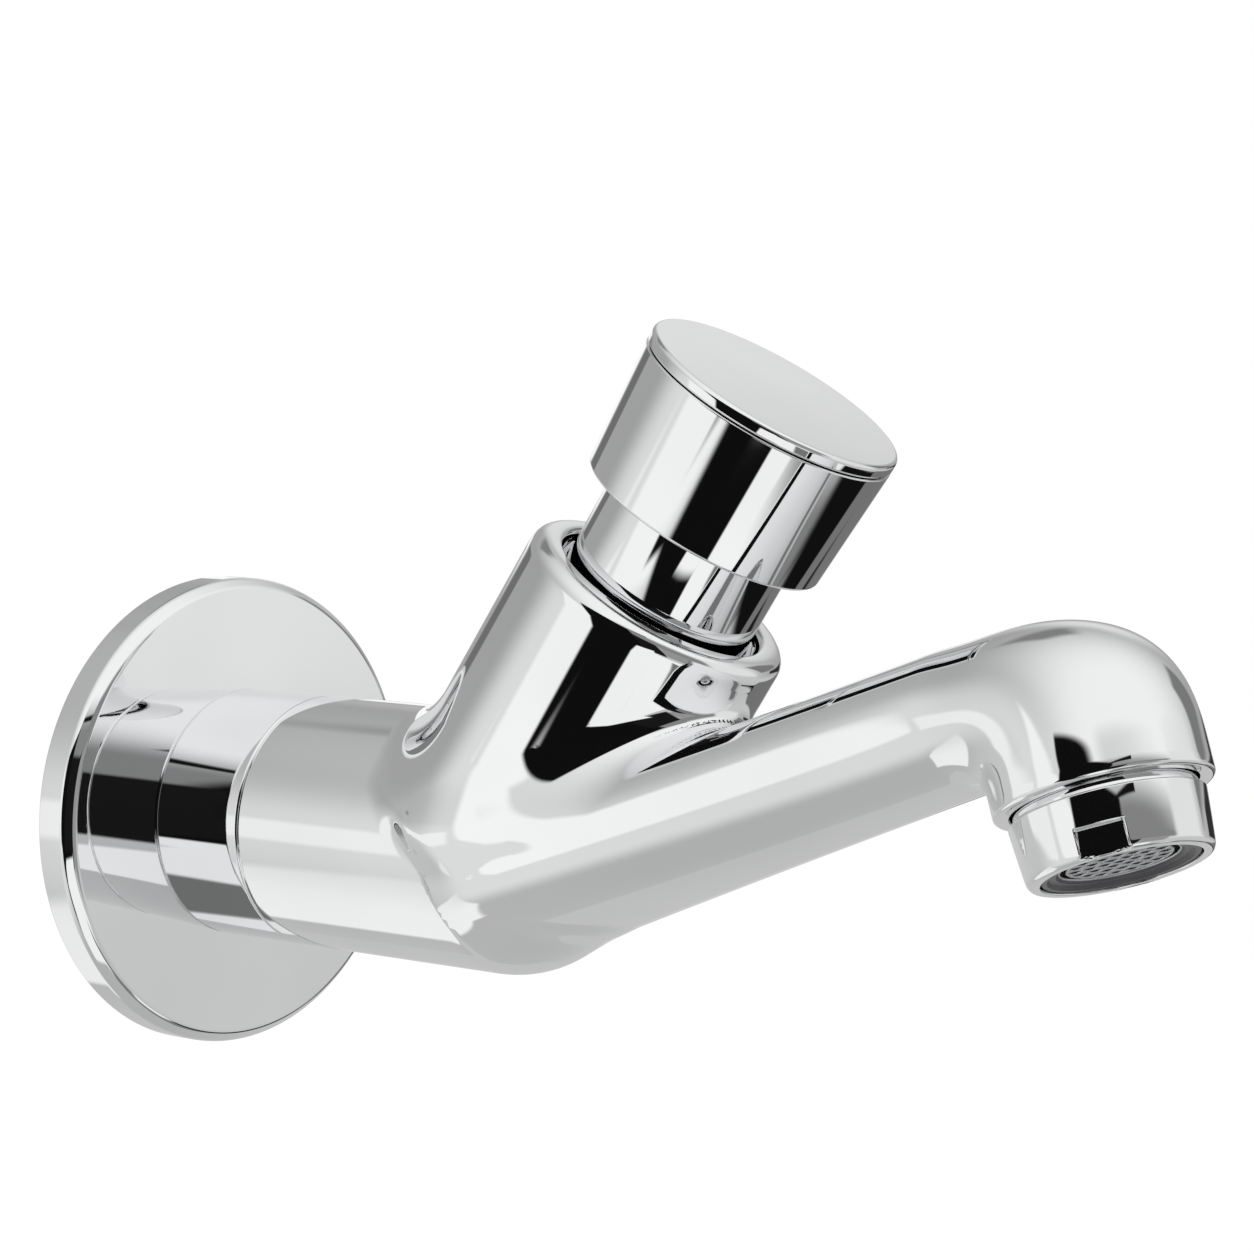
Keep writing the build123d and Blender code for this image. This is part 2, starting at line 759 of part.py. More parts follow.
def aerator_insert():
    """Dark plastic body in the mouth, with the mesh in it."""
    outer = aerator_mouth - slip
    low = -insert_top
    high = aerator_height - insert_recess
    mesh_low = high - mesh_recess - mesh_thickness
    insert = turned(
        (insert_lip_radius, low + jet_disc_thickness), (aerator_ledge, low + jet_disc_thickness),
        (aerator_ledge, low), (outer, low), (outer, high), (insert_lip_radius + chamfer_size, high),
        (insert_lip_radius, high - chamfer_size), (insert_lip_radius, high - mesh_recess),
        (aerator_ledge, high - mesh_recess), (aerator_ledge, mesh_low), (insert_lip_radius, mesh_low))
    return outlet_frame * insert


def aerator_mesh():
    """Honeycomb screen held in the insert's groove."""
    high = aerator_height - insert_recess - mesh_recess
    reach = insert_lip_radius - mesh_pitch / 2
    cell = RegularPolygon((mesh_pitch - mesh_web) / 2, 6, major_radius=False, rotation=30)
    cells = []
    rows = math.ceil(reach / (mesh_pitch * math.cos(math.radians(30))))
    for row in range(-rows, rows + 1):
        for column in range(-rows - 1, rows + 2):
            across = mesh_pitch * (column + (row % 2) / 2)
            up = mesh_pitch * math.cos(math.radians(30)) * row
            if math.hypot(across, up) < reach:
                cells.append(Pos(across, up) * cell)
    screen = Circle(aerator_ledge - slip) - cells
    return outlet_frame * (Pos(0, 0, high - mesh_thickness) * extrude(screen, mesh_thickness))


def jet_disc():
    """Upper disc that splits the water into jets."""
    disc = rod(aerator_ledge - slip, -insert_top, -insert_top + jet_disc_thickness)
    for number in range(jet_disc_count):
        turn = 360 * number / jet_disc_count
        disc -= Rot(0, 0, turn) * Pos(jet_disc_ring, 0, 0) * rod(
            jet_disc_hole, -insert_top - overrun, overrun - insert_top + jet_disc_thickness)
    return outlet_frame * disc


def flow_ring():
    """Rubber ring on the jet disc that evens the flow."""
    return outlet_frame * ring(flow_ring_radius, flow_ring_wire, -insert_top - flow_ring_wire)


pieces = (
    tap_body, wall_flange, flange_gasket, inlet_collar, collar_oring, inlet_nipple, inlet_washer,
    inlet_strainer, cartridge_housing, cartridge_filter, seat_oring, valve_seat, chamber_cover,
    cover_oring, spindle_oring, neck_sleeve, guide_ring, spindle_bush, spring_seat, return_spring,
    spindle, piston, piston_cup, timing_jet, valve_disc, valve_nut, spring_retainer, spring_circlip,
    push_cap, button_plate, cap_washer, cap_screw, aerator_housing, aerator_washer, aerator_insert,
    aerator_mesh, jet_disc, flow_ring)

os.makedirs("parts", exist_ok=True)
for piece in pieces:
    save(piece(), piece.__name__)
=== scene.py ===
# %% [markdown]
# # Push timed tap
# The tap is pressed once and closes by itself. Its CAD model gives the place and size of every piece.
# This file dresses that model: it turns smooth chrome pieces over the CAD ones, gives every piece its
# finish, and sets up the studio and the camera.

# %% Load the CAD frame
import json
import math
import bmesh
import bpy
import numpy as np
from mathutils import Matrix, Vector

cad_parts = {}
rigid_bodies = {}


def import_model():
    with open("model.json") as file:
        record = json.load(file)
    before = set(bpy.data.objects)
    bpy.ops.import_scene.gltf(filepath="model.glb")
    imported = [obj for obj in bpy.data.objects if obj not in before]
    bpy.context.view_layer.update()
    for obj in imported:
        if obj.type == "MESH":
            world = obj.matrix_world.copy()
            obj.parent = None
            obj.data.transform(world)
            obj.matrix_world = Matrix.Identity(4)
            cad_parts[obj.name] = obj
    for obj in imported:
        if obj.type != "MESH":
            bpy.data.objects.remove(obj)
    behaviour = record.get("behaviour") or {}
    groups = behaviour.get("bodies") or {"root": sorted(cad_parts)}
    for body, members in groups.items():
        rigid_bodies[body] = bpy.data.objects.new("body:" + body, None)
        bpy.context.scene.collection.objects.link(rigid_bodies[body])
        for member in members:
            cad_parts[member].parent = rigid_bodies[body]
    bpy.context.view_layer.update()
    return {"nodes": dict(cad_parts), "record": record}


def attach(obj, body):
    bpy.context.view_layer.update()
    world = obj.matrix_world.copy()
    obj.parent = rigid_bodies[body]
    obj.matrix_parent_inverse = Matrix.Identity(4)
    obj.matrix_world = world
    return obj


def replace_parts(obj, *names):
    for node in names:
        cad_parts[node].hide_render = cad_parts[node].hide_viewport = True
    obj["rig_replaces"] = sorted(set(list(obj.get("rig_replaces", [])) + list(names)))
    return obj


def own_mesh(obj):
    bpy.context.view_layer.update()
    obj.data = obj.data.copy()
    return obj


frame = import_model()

print("pieces in the frame:", len(frame["nodes"]))

# %% [markdown]
# ## Places
# A tap is measured along three lines: the inlet that comes out of the wall, the tower that leans
# forward, and the outlet that tips back. Each line gets a matrix that takes a piece made upright at
# the origin, in millimetres, to its place in metres.

# %% Axes of the tap
MM = 0.001
TOWER_FOOT = 62.4
TOWER_LEAN = 30.7
OUTLET_REACH = 161.35
OUTLET_HEIGHT = 13.4
OUTLET_TILT = 22.8


def tilted(angle):
    """Matrix that turns the upright Z axis about X."""
    return Matrix.Rotation(math.radians(angle), 4, "X")


TO_METRES = Matrix.Scale(MM, 4)
INLET = TO_METRES @ tilted(90)
TOWER = TO_METRES @ Matrix.Translation((0, -TOWER_FOOT, 0)) @ tilted(TOWER_LEAN)
OUTLET = TO_METRES @ Matrix.Translation((0, -OUTLET_REACH, OUTLET_HEIGHT)) @ tilted(180 - OUTLET_TILT)
tower_axis = np.array(tilted(TOWER_LEAN) @ Vector((0, 0, 1)))
outlet_axis = np.array(tilted(180 - OUTLET_TILT) @ Vector((0, 0, 1)))
print("tower axis", tower_axis.round(3), "outlet axis", outlet_axis.round(3))

# %% [markdown]
# ## Helpers for turned pieces
# Most of a tap is turned on a lathe, so the helper does the same: half an outline is drawn as a few
# corners, each corner is rounded with a vertex bevel, and the outline is spun a full turn. A chrome
# edge is never sharp, and it is the rounding that catches the light.

# %% A piece from a bmesh
SPIN_STEPS = 192
ROUND_STEPS = 6


def make_piece(name, bm, body, *nodes):
    """Mesh object from a bmesh, riding on a body and standing for CAD nodes."""
    mesh = bpy.data.meshes.new(name)
    bm.to_mesh(mesh)
    bm.free()
    mesh.shade_smooth()
    piece = bpy.data.objects.new(name, mesh)
    bpy.context.scene.collection.objects.link(piece)
    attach(piece, body)
    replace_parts(piece, *nodes)
    print(name, "faces", len(mesh.polygons))
    return piece


# %% [markdown]
# The outline stays a chain of edges until it is spun. Doubles on the axis are merged and the faces are
# turned outwards at once, so that every turned piece is closed and sound.

# %% Spin an outline
MERGE_DISTANCE = 1e-5


def draw_outline(bm, corners, closed=True):
    """Chain of edges through corners of radius, height and rounding."""
    points = [bm.verts.new((radius, 0, height)) for radius, height, _ in corners]
    for first, second in zip(points, points[1:]):
        bm.edges.new((first, second))
    if closed:
        bm.edges.new((points[-1], points[0]))
    for point, (_, _, rounding) in zip(points, corners):
        if rounding:
            bmesh.ops.bevel(bm, geom=[point], offset=rounding, offset_type="OFFSET", affect="VERTICES",
                            segments=ROUND_STEPS, profile=0.5, material=-1)


def spin_round(bm, steps=SPIN_STEPS):
    """Full turn of everything in the bmesh about Z."""
    bmesh.ops.spin(bm, geom=bm.verts[:] + bm.edges[:], cent=(0, 0, 0), axis=(0, 0, 1),
                   angle=math.tau, steps=steps, use_merge=True)
    bmesh.ops.remove_doubles(bm, verts=bm.verts[:], dist=MERGE_DISTANCE)
    bmesh.ops.recalc_face_normals(bm, faces=bm.faces[:])


def turned(name, corners, place, body, *nodes):
    """Turned piece: a closed outline spun about one of the tap's axes."""
    bm = bmesh.new()
    draw_outline(bm, corners)
    spin_round(bm)
    bmesh.ops.transform(bm, matrix=place, verts=bm.verts[:])
    piece = make_piece(name, bm, body, *nodes)
    flats = piece.modifiers.new("Flats stay flat", "WEIGHTED_NORMAL")
    flats.keep_sharp = True
    return piece


# %% [markdown]
# ## Body casting
# The body is one brass casting: a round barrel, a leaning tower and a flattened spout that flow into
# each other with soft fillets. It could be cut together with booleans, but their seams stay sharp and
# chrome shows every one. So three closed shells are laid over each other, remeshed into one skin, and
# then drawn onto a smooth blend of the same three shapes, which gives true fillets.

# %% Sizes of the body
COLLAR_RADIUS = 18.5
BODY_START = 24.1
TOWER_RADIUS = 19.6
TOWER_FOOT_RADIUS = 18.1
TOWER_BLEND = 14.0
TOWER_HEIGHT = 43.2
SPOUT_RISE = 21.0
SPOUT_HALF_HEIGHT, ELBOW_HALF_HEIGHT = 9.2, 9.8
SPOUT_HALF_WIDTH, ELBOW_HALF_WIDTH = 12.5, 20.5
ELBOW_TAPER, ELBOW_END, ELBOW_ROUNDING = 1.5, 0.16, 3.0
SPOUT_ROUNDNESS, ROUND = 2.5, 2.0
OUTLET_RADIUS = 14.4
OUTLET_GAP, OUTLET_NECK = 1.2, 3.2
HEAD_CORNER = 4.0
HEAD_TURN = 90 - OUTLET_TILT + SPOUT_RISE
BULGE = 0.65
rim = np.array((0, -OUTLET_REACH, OUTLET_HEIGHT)) - outlet_axis * OUTLET_GAP
across_outlet = np.array((0, -math.cos(math.radians(OUTLET_TILT)), math.sin(math.radians(OUTLET_TILT))))
head_pivot = rim - outlet_axis * OUTLET_NECK - across_outlet * (OUTLET_RADIUS + HEAD_CORNER)
foot = np.array((0, -TOWER_FOOT, 0))


def up_at(rise):
    """Direction square to the spout where it climbs at an angle."""
    return np.array((0, math.sin(math.radians(rise)), math.cos(math.radians(rise))))


def ahead_at(rise):
    """Direction along the spout where it climbs at an angle."""
    return np.array((0, -math.cos(math.radians(rise)), math.sin(math.radians(rise))))


head_start = head_pivot + up_at(SPOUT_RISE) * (HEAD_CORNER + SPOUT_HALF_HEIGHT)
spout_run = (-TOWER_FOOT - head_start[1]) / math.cos(math.radians(SPOUT_RISE))
print("spout run", round(spout_run, 1), "mm, head pivot", head_pivot.round(1))

# %% [markdown]
# The spout's section is a rounded oblong that narrows from the elbow, then turns over at the head and
# becomes round for the outlet. Its sizes are written as functions of the share of the way along, so
# that the shells and the final blend use the same ones.


# %% Sizes along the spout
def ease(share):
    """Rise from 0 to 1 with level ends."""
    share = np.clip(share, 0, 1)
    return share * share * (3 - 2 * share)


def straight_sizes(share):
    """Half width, half height and roundness on the straight run."""
    width = SPOUT_HALF_WIDTH + (ELBOW_HALF_WIDTH - SPOUT_HALF_WIDTH) * (1 - share) ** ELBOW_TAPER
    width = width - ELBOW_ROUNDING * np.maximum(1 - share / ELBOW_END, 0) ** 2
    height = ELBOW_HALF_HEIGHT + (SPOUT_HALF_HEIGHT - ELBOW_HALF_HEIGHT) * share
    return width, height, SPOUT_ROUNDNESS + 0 * share


def head_sizes(share):
    """Half width, half height and roundness round the head."""
    share = np.clip(share, 0, 1)
    width = SPOUT_HALF_WIDTH + (OUTLET_RADIUS - SPOUT_HALF_WIDTH) * ease(share)
    wave = BULGE * np.sin(math.pi * share) - BULGE * np.sin(math.tau * share)
    wave = wave * (1 - (1 - share) ** 6) * (1 - share ** 6)
    height = SPOUT_HALF_HEIGHT + (OUTLET_RADIUS - SPOUT_HALF_HEIGHT) * ease(share) + wave
    return width, height, SPOUT_ROUNDNESS - (SPOUT_ROUNDNESS - ROUND) * ease(share)


# %% [markdown]
# The spout's shell is a row of rings, laid square to its middle line and bridged one to the next. It
# only has to be near the true shape, so the rings can be few.

# %% Rough shell of the spout
RING_POINTS, STRAIGHT_RINGS, HEAD_RINGS = 48, 9, 13
SHELL_OVERLAP = 6.0


def spout_ring(bm, centre, rise, sizes):
    """Ring of edges square to the spout."""
    width, height, _ = sizes
    ring = bmesh.ops.create_circle(bm, segments=RING_POINTS, radius=1)["verts"]
    toward = Matrix((
        (width, 0, 0, centre[0]), (0, *(up_at(rise)[1:2] * height), 0, centre[1]),
        (0, *(up_at(rise)[2:] * height), 0, centre[2]), (0, 0, 0, 1)))
    bmesh.ops.transform(bm, matrix=toward, verts=ring)
    edges = {edge for vert in ring for edge in vert.link_edges}
    return list(edges)


def add_spout(bm):
    """Closed shell of the spout through rings."""
    rings = []
    for share in np.linspace(0, 1, STRAIGHT_RINGS):
        centre = head_start - ahead_at(SPOUT_RISE) * spout_run * (1 - share)
        rings.append(spout_ring(bm, centre, SPOUT_RISE, straight_sizes(share)))
    for share in np.linspace(0, 1, HEAD_RINGS)[1:]:
        rise, sizes = SPOUT_RISE - HEAD_TURN * share, head_sizes(share)
        rings.append(spout_ring(bm, head_pivot + up_at(rise) * (HEAD_CORNER + sizes[1]), rise, sizes))
    end = head_pivot + across_outlet * (OUTLET_RADIUS + HEAD_CORNER) + outlet_axis * SHELL_OVERLAP
    rings.append(spout_ring(bm, end, SPOUT_RISE - HEAD_TURN, (OUTLET_RADIUS, OUTLET_RADIUS, ROUND)))
    for near, far in zip(rings, rings[1:]):
        bmesh.ops.bridge_loops(bm, edges=near + far)
    bmesh.ops.contextual_create(bm, geom=rings[0])
    bmesh.ops.contextual_create(bm, geom=rings[-1])


# %% [markdown]
# The barrel and the tower are turned like any other piece. The three shells pass through each other
# freely, because the remesh keeps only the outside.

# %% Barrel, tower and spout laid over each other
SHELL_STEPS = 96
BARREL_START, BARREL_ROUNDING = 21.1, 17.9


def add_turned(bm, corners, place):
    """Closed turned shell placed in millimetres."""
    shell = bmesh.new()
    draw_outline(shell, corners, closed=False)
    spin_round(shell, SHELL_STEPS)
    bmesh.ops.transform(shell, matrix=place, verts=shell.verts[:])
    mesh = bpy.data.meshes.new("shell")
    shell.to_mesh(mesh)
    shell.free()
    bm.from_mesh(mesh)
    bpy.data.meshes.remove(mesh)


shells = bmesh.new()
add_turned(shells, ((0, BARREL_START, 0), (COLLAR_RADIUS, BARREL_START, 0),
                    (COLLAR_RADIUS, TOWER_FOOT + COLLAR_RADIUS, BARREL_ROUNDING),
                    (0, TOWER_FOOT + COLLAR_RADIUS, 0)), tilted(90))
add_turned(shells, ((0, 0, 0), (TOWER_FOOT_RADIUS, 0, 0), (TOWER_RADIUS, TOWER_BLEND, 0),
                    (TOWER_RADIUS, TOWER_HEIGHT, 0), (0, TOWER_HEIGHT, 0)),
           Matrix.Translation(foot) @ tilted(TOWER_LEAN))
add_spout(shells)
bmesh.ops.recalc_face_normals(shells, faces=shells.faces[:])
print("open edges in the shells:", sum(len(edge.link_faces) != 2 for edge in shells.edges))

# %% [markdown]
# The remesh lays one closed skin of small squares over all three shells. Its size is a little more
# than half a millimetre, fine enough for the head's tight inner bend.

# %% One skin over the shells
VOXEL = 0.52
shell_mesh = bpy.data.meshes.new("shells")
shells.to_mesh(shell_mesh)
shells.free()
rough = bpy.data.objects.new("shells", shell_mesh)
bpy.context.scene.collection.objects.link(rough)
skin = rough.modifiers.new("One skin", "REMESH")
skin.mode = "VOXEL"
skin.voxel_size = VOXEL
skin_mesh = bpy.data.meshes.new_from_object(rough.evaluated_get(bpy.context.evaluated_depsgraph_get()))
bpy.data.objects.remove(rough)
print("points in the skin:", len(skin_mesh.vertices))

# %% [markdown]
# The blend works with distances. Each of the three shapes says how far a point is from its surface,
# and where two surfaces are near each other a fillet of a known radius bridges them. Every point of
# the skin then walks along the slope of that distance until it lies on the blend.


# %% Distance to each shape, in millimetres
LEAST_SLOPE, LEAST_SQUARE = 0.02, 0.1
FULL_TURN = 360


def corner_distance(side, end):
    """Distance to a shape that is bounded by a side and an end."""
    outside = np.hypot(np.maximum(side, 0), np.maximum(end, 0))
    return outside + np.minimum(np.maximum(side, end), 0)


def barrel_distance(points):
    """Distance to the barrel, which ends in half a ball under the tower."""
    along = np.clip(-points[:, 1], 0, TOWER_FOOT)
    return np.sqrt(points[:, 0] ** 2 + points[:, 2] ** 2 + (points[:, 1] + along) ** 2) - COLLAR_RADIUS


def tower_distance(points):
    """Distance to the tower, which is a little slimmer at its foot."""
    height = (points - foot) @ tower_axis
    radius = np.linalg.norm(points - foot - height[:, None] * tower_axis, axis=1)
    wall = TOWER_FOOT_RADIUS + (TOWER_RADIUS - TOWER_FOOT_RADIUS) * ease(height / TOWER_BLEND)
    return corner_distance(radius - wall, -height)


def spout_level(points):
    """Level that is 0 on the spout's surface and grows outwards."""
    ahead = (points - head_start) @ ahead_at(SPOUT_RISE)
    share = np.clip(1 + ahead / spout_run, 0, 1)
    width, height, roundness = straight_sizes(share)
    lift = (points - head_start) @ up_at(SPOUT_RISE)
    arm = points - head_pivot
    rise = np.degrees(np.arctan2(arm[:, 1], arm[:, 2]))
    turn = (SPOUT_RISE - rise) / HEAD_TURN
    turn = np.where(turn < -0.5, turn + FULL_TURN / HEAD_TURN, turn)
    head_width, head_height, head_roundness = head_sizes(turn)
    reach = np.hypot(arm[:, 1], arm[:, 2])
    reach = np.where(turn > 1, arm @ across_outlet, reach)
    in_head = ahead > 0
    width = np.where(in_head, head_width, width)
    height = np.where(in_head, head_height, height)
    roundness = np.where(in_head, head_roundness, roundness)
    lift = np.where(in_head, reach - HEAD_CORNER - head_height, lift)
    side = np.abs(points[:, 0]) / width
    rise_share = np.abs(lift) / height
    return (side ** roundness + rise_share ** roundness) ** (1 / roundness) - 1


def slope(level, points, step=0.02):
    """Slope of a level in every point, by central differences."""
    result = np.empty_like(points)
    for axis in range(3):
        shift = np.zeros(3)
        shift[axis] = step
        result[:, axis] = (level(points + shift) - level(points - shift)) / (2 * step)
    return result


def spout_distance(points):
    """Distance to the spout, from its level and how steeply the level grows."""
    level = spout_level(points)
    steep = np.linalg.norm(slope(spout_level, points), axis=1)
    start = -((points - head_start) @ ahead_at(SPOUT_RISE)) - spout_run
    return corner_distance(level / np.maximum(steep, LEAST_SLOPE), start)


# %% [markdown]
# A casting has a generous fillet where the tower joins the barrel, because molten brass and polishing
# wheels need one. Under the elbow the spout runs on from the barrel with hardly a fillet, so its radius
# grows with height.

# %% Fillets between the shapes
BARREL_FILLET, LOWER_FILLET, UPPER_FILLET = 5.5, 1.5, 6.5
FILLET_START, FILLET_RISE = -6.0, 8.0


def fillet(first, second, radius):
    """Union of two distances with a round fillet."""
    gap = np.hypot(np.maximum(radius - first, 0), np.maximum(radius - second, 0))
    return np.maximum(radius, np.minimum(first, second)) - gap


def body_distance(points):
    """Distance to the whole casting, fillets included."""
    trunk = fillet(barrel_distance(points), tower_distance(points), BARREL_FILLET)
    above = ease((points[:, 2] - FILLET_START) / FILLET_RISE)
    return fillet(trunk, spout_distance(points), LOWER_FILLET + (UPPER_FILLET - LOWER_FILLET) * above)


def settle(points, rounds=6):
    """Points moved onto the blend, and the outward directions there."""
    for _ in range(rounds):
        tilt = slope(body_distance, points)
        steep = np.maximum((tilt ** 2).sum(1), LEAST_SQUARE)
        points = points - tilt * (body_distance(points) / steep)[:, None]
    tilt = slope(body_distance, points)
    return points, tilt / np.linalg.norm(tilt, axis=1)[:, None]


# %% [markdown]
# Walking straight onto the blend crowds the points in the fillets, and chrome shows every crowded
# crease. So the skin is relaxed a few times between short walks, and then walks the rest of the way.

# %% Draw the skin onto the blend
RELAX_ROUNDS = 5
relaxed = bmesh.new()
relaxed.from_mesh(skin_mesh)
for _ in range(RELAX_ROUNDS):
    bmesh.ops.smooth_vert(relaxed, verts=relaxed.verts[:], factor=0.5, use_axis_x=True, use_axis_y=True,
                          use_axis_z=True)
    places, _ = settle(np.array([vert.co for vert in relaxed.verts]), 2)
    for vert, place in zip(relaxed.verts, places):
        vert.co = place
relaxed.to_mesh(skin_mesh)
relaxed.free()
places, _ = settle(places)
print("largest distance left, mm:", np.abs(body_distance(places)).max().round(4))
skin_mesh.vertices.foreach_set("co", places.ravel())
skin_mesh.update()

# %% [markdown]
# The ends of the casting are machined, so they are crisp: the mouth of the tower, the rim of the
# outlet and the shoulder against the collar. The remesh has blurred them. So the skin is cut square a
# little below each end and a turned lip is bridged onto the cut.

# %% Cut the skin and add the turned ends
MOUTH_RADIUS, MOUTH_DEPTH = 15.3, 5.2
CUT_REACH, CUT_MARGIN = 30, 2.5
ON_PLANE, ON_RING = 1e-3, 1e-2
TOWER_CUT, OUTLET_CUT, COLLAR_CUT = 39.6, -3.2, 0.9
body = bmesh.new()
body.from_mesh(skin_mesh)
bpy.data.meshes.remove(skin_mesh)


def finish_end(place, height, lip):
    """Cut the skin across one of the axes and bridge a turned lip onto the cut."""
    normal = (place.to_3x3() @ Vector((0, 0, 1))).normalized()
    at = place @ Vector((0, 0, height))
    near = []
    for face in body.faces:
        away = face.calc_center_median() - at
        if abs(away.dot(normal)) < CUT_REACH and away.cross(normal).length < lip[0][0] + CUT_MARGIN:
            near.append(face)
    geom = list({item for face in near for item in (face, *face.edges, *face.verts)})
    cut = bmesh.ops.bisect_plane(body, geom=geom, dist=MERGE_DISTANCE, plane_co=at, plane_no=normal,
                                 clear_outer=True)
    rim_edges = [item for item in cut["geom_cut"]
                 if isinstance(item, bmesh.types.BMEdge) and item.is_boundary]
    ring = bmesh.new()
    draw_outline(ring, lip, closed=False)
    spin_round(ring)
    bmesh.ops.transform(ring, matrix=place, verts=ring.verts[:])
    mesh = bpy.data.meshes.new("lip")
    ring.to_mesh(mesh)
    ring.free()
    before = set(body.edges)
    body.from_mesh(mesh)
    bpy.data.meshes.remove(mesh)
    start = place @ Vector((0, 0, lip[0][1]))
    first = [edge for edge in body.edges if edge not in before and edge.is_boundary
             and all(abs((vert.co - start).dot(normal)) < ON_PLANE and
                     abs((vert.co - start).length - lip[0][0]) < ON_RING for vert in edge.verts)]
    bmesh.ops.bridge_loops(body, edges=rim_edges + first)
    print("cut edges", len(rim_edges), "lip edges", len(first))


MM_INLET = tilted(90)
MM_TOWER = Matrix.Translation(foot) @ tilted(TOWER_LEAN)
MM_OUTLET = Matrix.Translation((0, -OUTLET_REACH, OUTLET_HEIGHT)) @ tilted(180 - OUTLET_TILT)
finish_end(MM_TOWER, TOWER_CUT, (
    (TOWER_RADIUS, 39.8, 0), (TOWER_RADIUS, TOWER_HEIGHT, 2.4), (MOUTH_RADIUS + 0.3, TOWER_HEIGHT, 0.7),
    (MOUTH_RADIUS, TOWER_HEIGHT - 1.6, 0.3), (MOUTH_RADIUS, TOWER_HEIGHT - MOUTH_DEPTH, 0.4),
    (14.1, TOWER_HEIGHT - MOUTH_DEPTH, 0)))
finish_end(MM_OUTLET, OUTLET_CUT, (
    (OUTLET_RADIUS, -3.0, 0), (OUTLET_RADIUS, -1.2, 0.7), (12.3, -1.2, 0.3), (12.1, -7.0, 0)))
finish_end(MM_INLET @ Matrix.Rotation(math.pi, 4, "X"), -BODY_START - COLLAR_CUT, (
    (COLLAR_RADIUS, -BODY_START - 0.8, 0), (COLLAR_RADIUS, -BODY_START, 0.3), (14.9, -BODY_START, 0)))

# %% [markdown]
# Chrome shows the direction of a surface more than its place. Every point on the blend gets the
# direction that the blend has there, while the machined ends keep the directions of their own faces.

# %% Smooth directions for the chrome
ON_BLEND = 0.01
TOWER_END, TOWER_ZONE = 40.7, 21.0
RIM_END, RIM_ZONE = -0.8, 20.0
SHOULDER_ZONE = 0.5
for face in body.faces:
    face.smooth = True
bmesh.ops.recalc_face_normals(body, faces=body.faces[:])
bmesh.ops.transform(body, matrix=TO_METRES, verts=body.verts[:])
casting = make_piece("body_casting", body, "tap", "tap_body")
places = np.empty(len(casting.data.vertices) * 3)
casting.data.vertices.foreach_get("co", places)
places = places.reshape(-1, 3) / MM
facing = np.empty(len(casting.data.vertices) * 3)
casting.data.vertices.foreach_get("normal", facing)
facing = facing.reshape(-1, 3)
on_blend = np.abs(body_distance(places)) < ON_BLEND
tower_up = (places - foot) @ tower_axis
from_tower = np.linalg.norm(places - foot - tower_up[:, None] * tower_axis, axis=1)
past_rim = (places - rim) @ outlet_axis
from_rim = np.linalg.norm(places - rim, axis=1)
on_blend &= ~((tower_up > TOWER_END) & (from_tower < TOWER_ZONE))
on_blend &= ~((past_rim > RIM_END) & (from_rim < RIM_ZONE))
on_blend &= places[:, 1] < -BODY_START - SHOULDER_ZONE
tilt = slope(body_distance, places[on_blend])
facing[on_blend] = tilt / np.linalg.norm(tilt, axis=1)[:, None]
casting.data.normals_split_custom_set_from_vertices(facing.tolist())
print("points with blend directions:", int(on_blend.sum()), "of", len(places))

# %% [markdown]
# ## Plate, collar and neck
# The cover plate closes on the wall and hides the hole in the tiles. A real one is spun or pressed from
# sheet. Here its section is turned in one go, with its hollow back, so that the rim has a true edge.

# %% Cover plate
turned("cover_plate", (
    (10.8, 7.1, 0), (18.5, 7.1, 0), (33.6, 6.35, 0.5), (35.0, 5.0, 0.5), (35.0, 0, 0.3), (32.0, 0, 0.2),
    (32.0, 2.0, 0.2), (26.0, 2.0, 0.2), (26.0, 0, 0.2), (23.6, 0, 0.3), (23.6, 4.7, 0.6), (10.8, 4.7, 0.2)),
    INLET, "tap", "wall_flange")

# %% [markdown]
# The collar slides over the body's spigot and hides the joint. The hairlines on both its sides come from
# its rounded edges, which is why it is a piece of its own.

# %% Collar
turned("inlet_ring", (
    (14.95, 7.1, 0), (COLLAR_RADIUS, 7.1, 0.45), (COLLAR_RADIUS, BODY_START, 0.45), (14.95, BODY_START, 0)),
    INLET, "tap", "inlet_collar")

# %% [markdown]
# The neck is screwed into the tower and guides the button. The groove near its top holds a plastic ring.

# %% Neck
NECK_RADIUS, NECK_GROOVE = 14.0, 13.1
turned("tower_neck", (
    (9.5, 30.2, 0), (NECK_RADIUS, 30.2, 0), (NECK_RADIUS, 57.6, 0.15), (NECK_GROOVE, 57.6, 0.1),
    (NECK_GROOVE, 59.6, 0.1), (NECK_RADIUS, 59.6, 0.15), (NECK_RADIUS, 61.0, 0.4), (6.05, 61.0, 0.2),
    (6.05, 57.0, 0.2), (9.5, 57.0, 0.2)),
    TOWER, "tap", "neck_sleeve")

# %% [markdown]
# ## Push button
# The button is a cup that flares a little towards the top, closed by a plate that is very slightly
# domed. It could be one turned piece, but the hair-thin groove between the two is a dark line all
# round, so they are two, as on the tap. The cup's web rests on the spindle with a hair of play.

